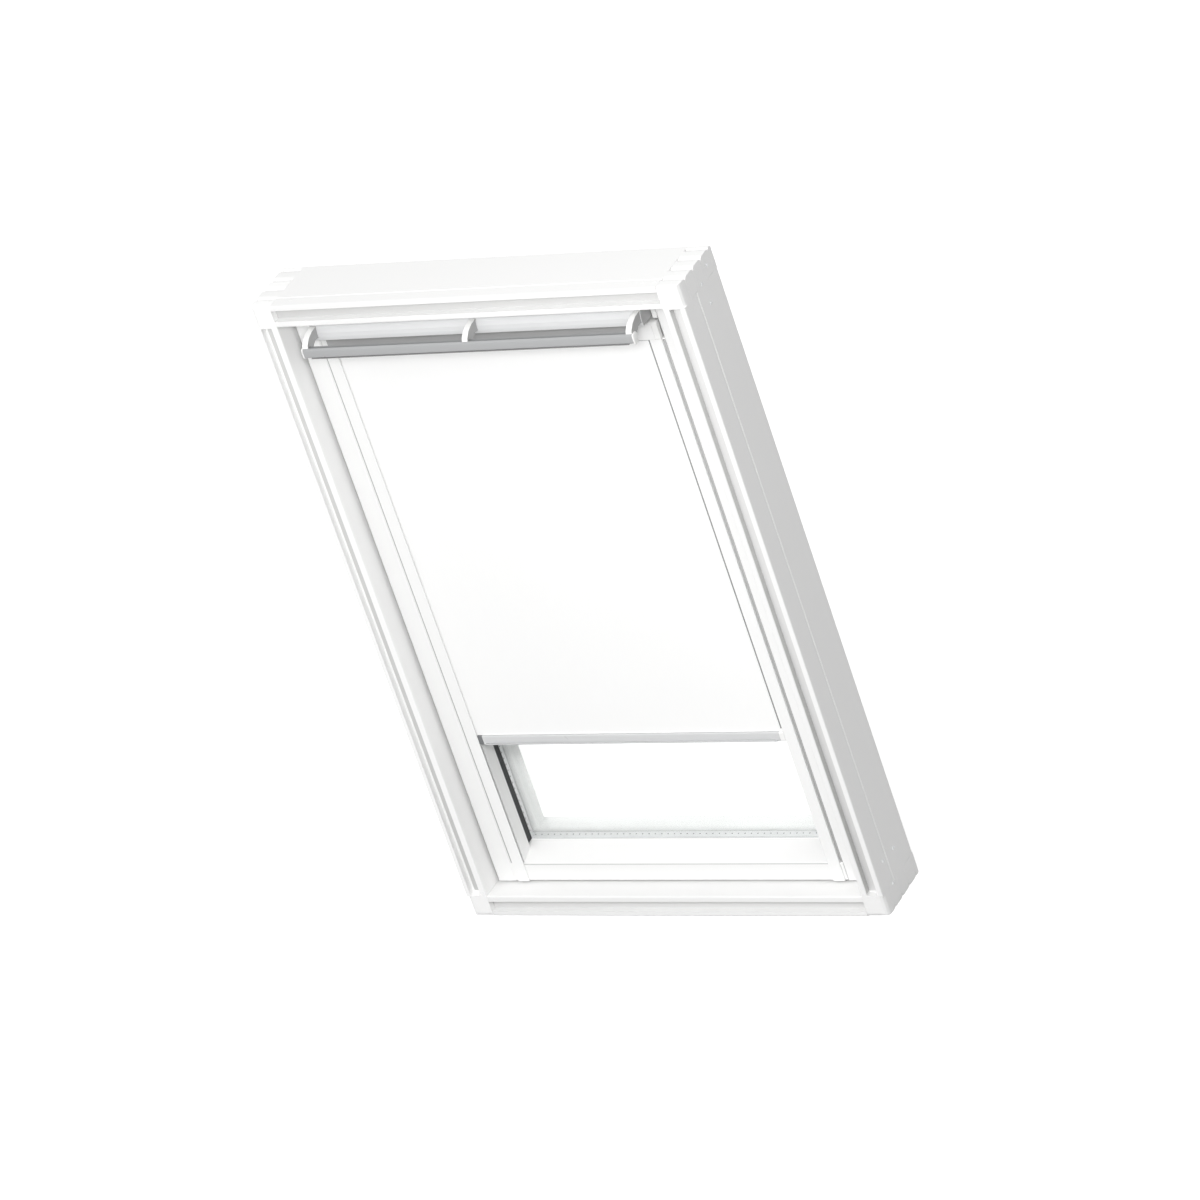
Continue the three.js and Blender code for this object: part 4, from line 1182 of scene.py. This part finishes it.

# The grey strip paints the shade along the bar's lower edge.
shade_strip = box_between(
    "bar_shade_strip",
    (bar_low.x + SHADE_STRIP_END, bar_low.y + SHADE_STRIP_MARGIN, bar_low.z - SHADE_STRIP_THICKNESS),
    (bar_high.x - SHADE_STRIP_END, bar_high.y - SHADE_STRIP_MARGIN, bar_low.z + SHADE_STRIP_SUNK))
edit(shade_strip)
pick(shade_strip, edges=lambda middle, along: abs(along.x) > FACING and middle.z < bar_low.z)
bpy.ops.mesh.bevel(offset=SHADE_STRIP_ROUND, segments=3)
leave()
complete(shade_strip, seal_rubber, "flap")
print("grip strip:", round(bar_high.x - bar_low.x - 2 * SHADE_STRIP_END, 3), "m long")

# %% [markdown]
# A pale face covers the top and the front of each grey arm, painted light where the light falls,
# so that the grey sides read as shade. A grey plate lies on each of the flap's cheeks, painted
# shade in the pocket by the flap. Both are thin skins over faces of the ready-made nodes.

# %% Pale faces of the arms, painted light
FACE_THICKNESS = 0.0008
ARM_FRONT = 0.004
UPWARD = 0.3
SIDEWAYS = 0.5


def shown_on_arm(middle, normal):
    """True for an arm's faces that look up, and at its front for those that look forward."""
    forward = normal.y < -SIDEWAYS and middle.y <= bar_low.y + ARM_FRONT
    return abs(normal.x) < SIDEWAYS and (normal.z > UPWARD or forward)


for name in ("left", "middle", "right"):
    face, kept = skin_of("bar_bracket_" + name, "arm_painted_light_" + name, FACE_THICKNESS, shown_on_arm)
    complete(face, white_plastic, "flap")
    print(face.name, "from", kept, "faces")

# %% Grey plates on the flap's cheeks, painted shade
CHEEK_PLATE_THICKNESS = 0.0006
CHEEK_STEP = 0.001
CHEEK_SLACK = 0.0005

cheek_x = bar_high.x + CHEEK_STEP
cheeks, kept = skin_of(
    "ventilation_flap", "cheek_painted_shade", CHEEK_PLATE_THICKNESS,
    lambda middle, normal: abs(normal.x) > FACING and abs(abs(middle.x) - cheek_x) < CHEEK_SLACK)
complete(cheeks, arm_plastic, "flap")
print("cheek plates from", kept, "faces at x", round(cheek_x, 4))

# %% [markdown]
# ## Bottom bar of the blind
# The cloth's lower edge is welded into a slim bar. On the bar's room side is a small grip lip,
# and above it a welded seam crosses the cloth. The ends carry dark sliders that run in the
# channels.

# %% Bottom bar's grip lip
GRIP_END = 0.004
GRIP_UP = 0.0022
GRIP_REACH = 0.0042
GRIP_ROOT = 0.0008
GRIP_THICKNESS = 0.0016
GRIP_HOOK = (0, -0.0008, 0.0016)

slim_low, slim_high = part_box("bottom_bar")
grip_foot = slim_low.z + GRIP_UP
grip = box_between("bar_grip", (slim_low.x + GRIP_END, slim_low.y - GRIP_REACH, grip_foot),
                   (slim_high.x - GRIP_END, slim_low.y + GRIP_ROOT, grip_foot + GRIP_THICKNESS))
edit(grip)
pick(grip, faces=lambda middle, normal: normal.y < -FACING)
bpy.ops.mesh.extrude_region_move(TRANSFORM_OT_translate={"value": GRIP_HOOK})
leave()
soften(grip, SOFT_EDGE)
complete(grip, slim_lacquer, "blind_bar")
print("grip lip:", round(slim_high.x - slim_low.x - 2 * GRIP_END, 3), "m long")

# %% Welded seam of the cloth
SEAM_UP = 0.0005
SEAM_HEIGHT = 0.0009
SEAM_PROUD = 0.0006
SEAM_SUNK = 0.0001
SEAM_EDGE = 0.0002

seam_foot = cloth_low.z + SEAM_UP
seam = box_between("cloth_seam", (-slim_high.x, cloth_low.y - SEAM_PROUD, seam_foot),
                   (slim_high.x, cloth_low.y + SEAM_SUNK, seam_foot + SEAM_HEIGHT))
soften(seam, SEAM_EDGE)
complete(seam, cloth, "blind_bar")
print("seam:", SEAM_HEIGHT, "m high")

# %% [markdown]
# ## Covers outside
# Each dark cover has a rolled bead along its inner edge, next to the glass, which stiffens the
# thin sheet. Between the cover and the glass lies a pale lining, which is what shows from the
# room. The beads are slim boxes, rounded all along, and the lining is a flat ring.

# %% Beads on the covers
BEAD_WIDTH = 0.004
BEAD_HEIGHT = 0.0016
BEAD_SUNK = 0.0003
BEAD_ROUND = 0.0007

bead_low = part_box("outer_cover_bottom")[1].z
bead_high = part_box("outer_cover_top")[0].z
bead_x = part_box("outer_cover_left")[1].x
bead_boxes = {
    "left": ((bead_x - BEAD_WIDTH, bead_low), (bead_x, bead_high)),
    "right": ((-bead_x, bead_low), (-bead_x + BEAD_WIDTH, bead_high)),
    "bottom": ((bead_x - BEAD_WIDTH, bead_low - BEAD_WIDTH), (-bead_x + BEAD_WIDTH, bead_low)),
    "top": ((bead_x - BEAD_WIDTH, bead_high), (-bead_x + BEAD_WIDTH, bead_high + BEAD_WIDTH)),
}
for side, ((x0, z0), (x1, z1)) in bead_boxes.items():
    bead = box_between(
        "cover_bead_" + side, (x0, cover_back - BEAD_SUNK, z0), (x1, cover_back + BEAD_HEIGHT, z1))
    soften(bead, BEAD_ROUND, segments=3)
    complete(bead, cladding, "sash")
print("cover beads:", len(bead_boxes))

# %% Pale lining behind the covers
LINING_THICKNESS = 0.0014
LINING_WIDTH = 0.028
LINING_OVER = 0.008
LINING_GAP = 0.0002

pane_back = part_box("outer_pane")[1].y
cover_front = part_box("outer_cover_top")[0].y
lining_back = cover_front - LINING_GAP
lining_low = Vector((bead_x - LINING_WIDTH, lining_back - LINING_THICKNESS, bead_low - LINING_WIDTH))
lining_high = Vector((-bead_x + LINING_WIDTH, lining_back, bead_high + LINING_WIDTH))
lining = flat_ring("cover_lining", lining_low, lining_high, LINING_WIDTH + LINING_OVER)
soften(lining, FINE_EDGE)
# The lining glows faintly: painted light in the shade behind the glass.
complete(lining, glowing_lining, "sash")
print("lining between", round(pane_back, 4), "and", round(cover_front, 4))

# %% [markdown]
# ## Painted shade in the grooves
# A groove runs round the front of the frame, for the edge of the room's lining. A thin grey board
# lies on its floor on every side, painted shade where the lips shade the floor. On the left the
# first part of the floor, which the light reaches, stays white. On the right one more grey board
# stands on the groove's wall, which the camera looks at, as painted shade on that wall.

# %% Painted shade on the floor of the grooves
GROOVE_LIP = 0.0085
GROOVE_WIDTH = 0.020
GROOVE_DEPTH = 0.012
GROOVE_HALF = 0.3505
GROOVE_END = 0.044
LIT_PART = 0.0035
SHADE_BOARD_THICKNESS = 0.0004
SHADE_BOARD_INSET = 0.0003
PLATE_EDGE = 0.0001

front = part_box("frame_left_member")[0].y
back = front + GROOVE_DEPTH
outside, top = frame_high.x, frame_high.z
near, far = GROOVE_LIP + SHADE_BOARD_INSET, GROOVE_LIP + GROOVE_WIDTH - SHADE_BOARD_INSET
groove_spans = {
    "top": ((-GROOVE_HALF, top - far), (GROOVE_HALF, top - near), groove_deep_shade_level),
    "bottom": ((-GROOVE_HALF, near), (GROOVE_HALF, far), groove_shade_level),
    "left": ((-outside + near + LIT_PART, GROOVE_END), (-outside + far, top - GROOVE_END), groove_deep_shade),
    "right": ((outside - far, GROOVE_END), (outside - near, top - GROOVE_END), groove_shade_upright),
}
for side, ((x0, z0), (x1, z1), material) in groove_spans.items():
    board = box_between("groove_painted_shade_" + side, (x0, back - SHADE_BOARD_THICKNESS, z0), (x1, back + SEAT, z1))
    soften(board, PLATE_EDGE)
    complete(board, material, "frame")
print("primed grooves:", len(groove_spans), "front at", round(front, 4))

# %% Painted shade on the right groove's wall
WALL_SETBACK = 0.0012

wall_low = (outside - far - SHADE_BOARD_INSET - SEAT, front + WALL_SETBACK, GROOVE_END)
wall_high = (outside - far + SHADE_BOARD_THICKNESS, back, top - GROOVE_END)
wall = box_between("groove_wall_right", wall_low, wall_high)
soften(wall, PLATE_EDGE)
complete(wall, line_shade_finish, "frame")
print("groove wall:", round(top - 2 * GROOVE_END, 3), "m long")

# %% [markdown]
# ## Fine lines of painted shade round the blind
# A few fine grey lines paint shade and shadow. One paints the shade of the small step where the
# bevel of the sash's bottom rail meets its face. One is a strip on the right edge of the cloth,
# painted shadow of the right channel. The others paint shade beside the channels and on the upper
# part of the casing's front under the bar, and shadow at the slot under it. All are slim boxes with softened
# edges.

# %% Painted shade line on the sash's bottom rail
SASH_FACE = 0.034
LINE_WIDTH = 0.0017
LINE_HALF = 0.29
LINE_DROP = 0.0004
LINE_PROUD = 0.0003

rail_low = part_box("sash_bottom_rail")[0]
line_top = rail_low.z + SASH_FACE - LINE_DROP
rail_shade_line = box_between("rail_shade_line", (-LINE_HALF, rail_low.y - LINE_PROUD, line_top - LINE_WIDTH),
                        (LINE_HALF, rail_low.y + SEAT, line_top))
soften(rail_shade_line, PLATE_EDGE)
complete(rail_shade_line, line_shade_finish, "sash")
print("rail line up to", round(line_top, 4))

# %% Painted shadow along the cloth's right edge
CLOTH_SHADOW_RIGHT = 0.2846
CLOTH_SHADOW_WIDTH = 0.0032
CLOTH_SHADOW_THICKNESS = 0.0003
CLOTH_SHADOW_PROUD = 0.0009
CLOTH_SHADOW_FOOT = 0.006
CLOTH_SHADOW_HEAD = 0.002
CLOTH_SHADOW_EDGE = 0.00005

# A grey strip on the cloth paints the shadow that the right channel casts on it.
cloth_shadow_front = cloth_low.y - CLOTH_SHADOW_PROUD
cloth_shadow = box_between("cloth_edge_shadow", (CLOTH_SHADOW_RIGHT - CLOTH_SHADOW_WIDTH, cloth_shadow_front, cloth_low.z + CLOTH_SHADOW_FOOT),
                   (CLOTH_SHADOW_RIGHT, cloth_shadow_front + CLOTH_SHADOW_THICKNESS, cloth_high.z - CLOTH_SHADOW_HEAD))
soften(cloth_shadow, CLOTH_SHADOW_EDGE)
complete(cloth_shadow, seal_rubber, "sash")
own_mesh(cloth_shadow)
print("tape at", round(cloth_shadow_front, 4))

# %% Painted shade strips beside the channels
SHOULDER_INNER = 0.3062
SHOULDER_OUTER = 0.3112
SHOULDER_DEPTH = 0.005
STRIP_GAP = 0.0004
STRIP_HEIGHT = 0.0012
STRIP_END = 0.002

channel_low, channel_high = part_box("side_channel_right")
shoulder = channel_low.y + SHOULDER_DEPTH
# Grey strips in the grooves beside the channels paint the shade in them.
for side, sign in (("left", -1), ("right", 1)):
    ends = sorted((sign * (SHOULDER_INNER + STRIP_GAP), sign * (SHOULDER_OUTER - STRIP_GAP)))
    strip = box_between(
        f"channel_strip_{side}", (ends[0], shoulder - STRIP_HEIGHT, channel_low.z + STRIP_END),
        (ends[1], shoulder + SEAT, channel_high.z - STRIP_END))
    soften(strip, SOFT_EDGE)
    complete(strip, arm_plastic, "sash")
print("channel strips:", round(channel_high.z - channel_low.z - 2 * STRIP_END, 3), "m long")

# %% Painted shade strip and painted shadow lip on the casing
CASING_SHADE_SPAN = (-0.296, 0.262)
CASING_SHADE_FOOT = 0.0155
CASING_SHADE_HEAD = 0.0015
CASING_SHADE_PROUD = 0.0012
SLOT_HALF = 0.2846
SLOT_FRONT = 0.0004
SLOT_BACK = 0.0018
SLOT_DROP = 0.0011

casing_low, casing_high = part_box("blind_casing")
# The grey strip paints the shade on the casing's front under the flap and bar.
casing_shade = box_between(
    "casing_shade_strip", (CASING_SHADE_SPAN[0], casing_low.y - CASING_SHADE_PROUD, casing_high.z - CASING_SHADE_FOOT),
    (CASING_SHADE_SPAN[1], casing_low.y + SEAT, casing_high.z - CASING_SHADE_HEAD))
soften(casing_shade, SOFT_EDGE)
complete(casing_shade, arm_plastic, "sash")
# The dark lip paints the shadow at the slot under the casing.
slot_lip = box_between(
    "casing_lip", (-SLOT_HALF, casing_low.y + SLOT_FRONT, casing_low.z - SLOT_DROP),
    (SLOT_HALF, casing_low.y + SLOT_BACK, casing_low.z + SEAT))
soften(slot_lip, FINE_EDGE)
complete(slot_lip, seal_rubber, "sash")
print("dust strip:", round(CASING_SHADE_SPAN[1] - CASING_SHADE_SPAN[0], 3), "m, slot lip:", 2 * SLOT_HALF, "m long")
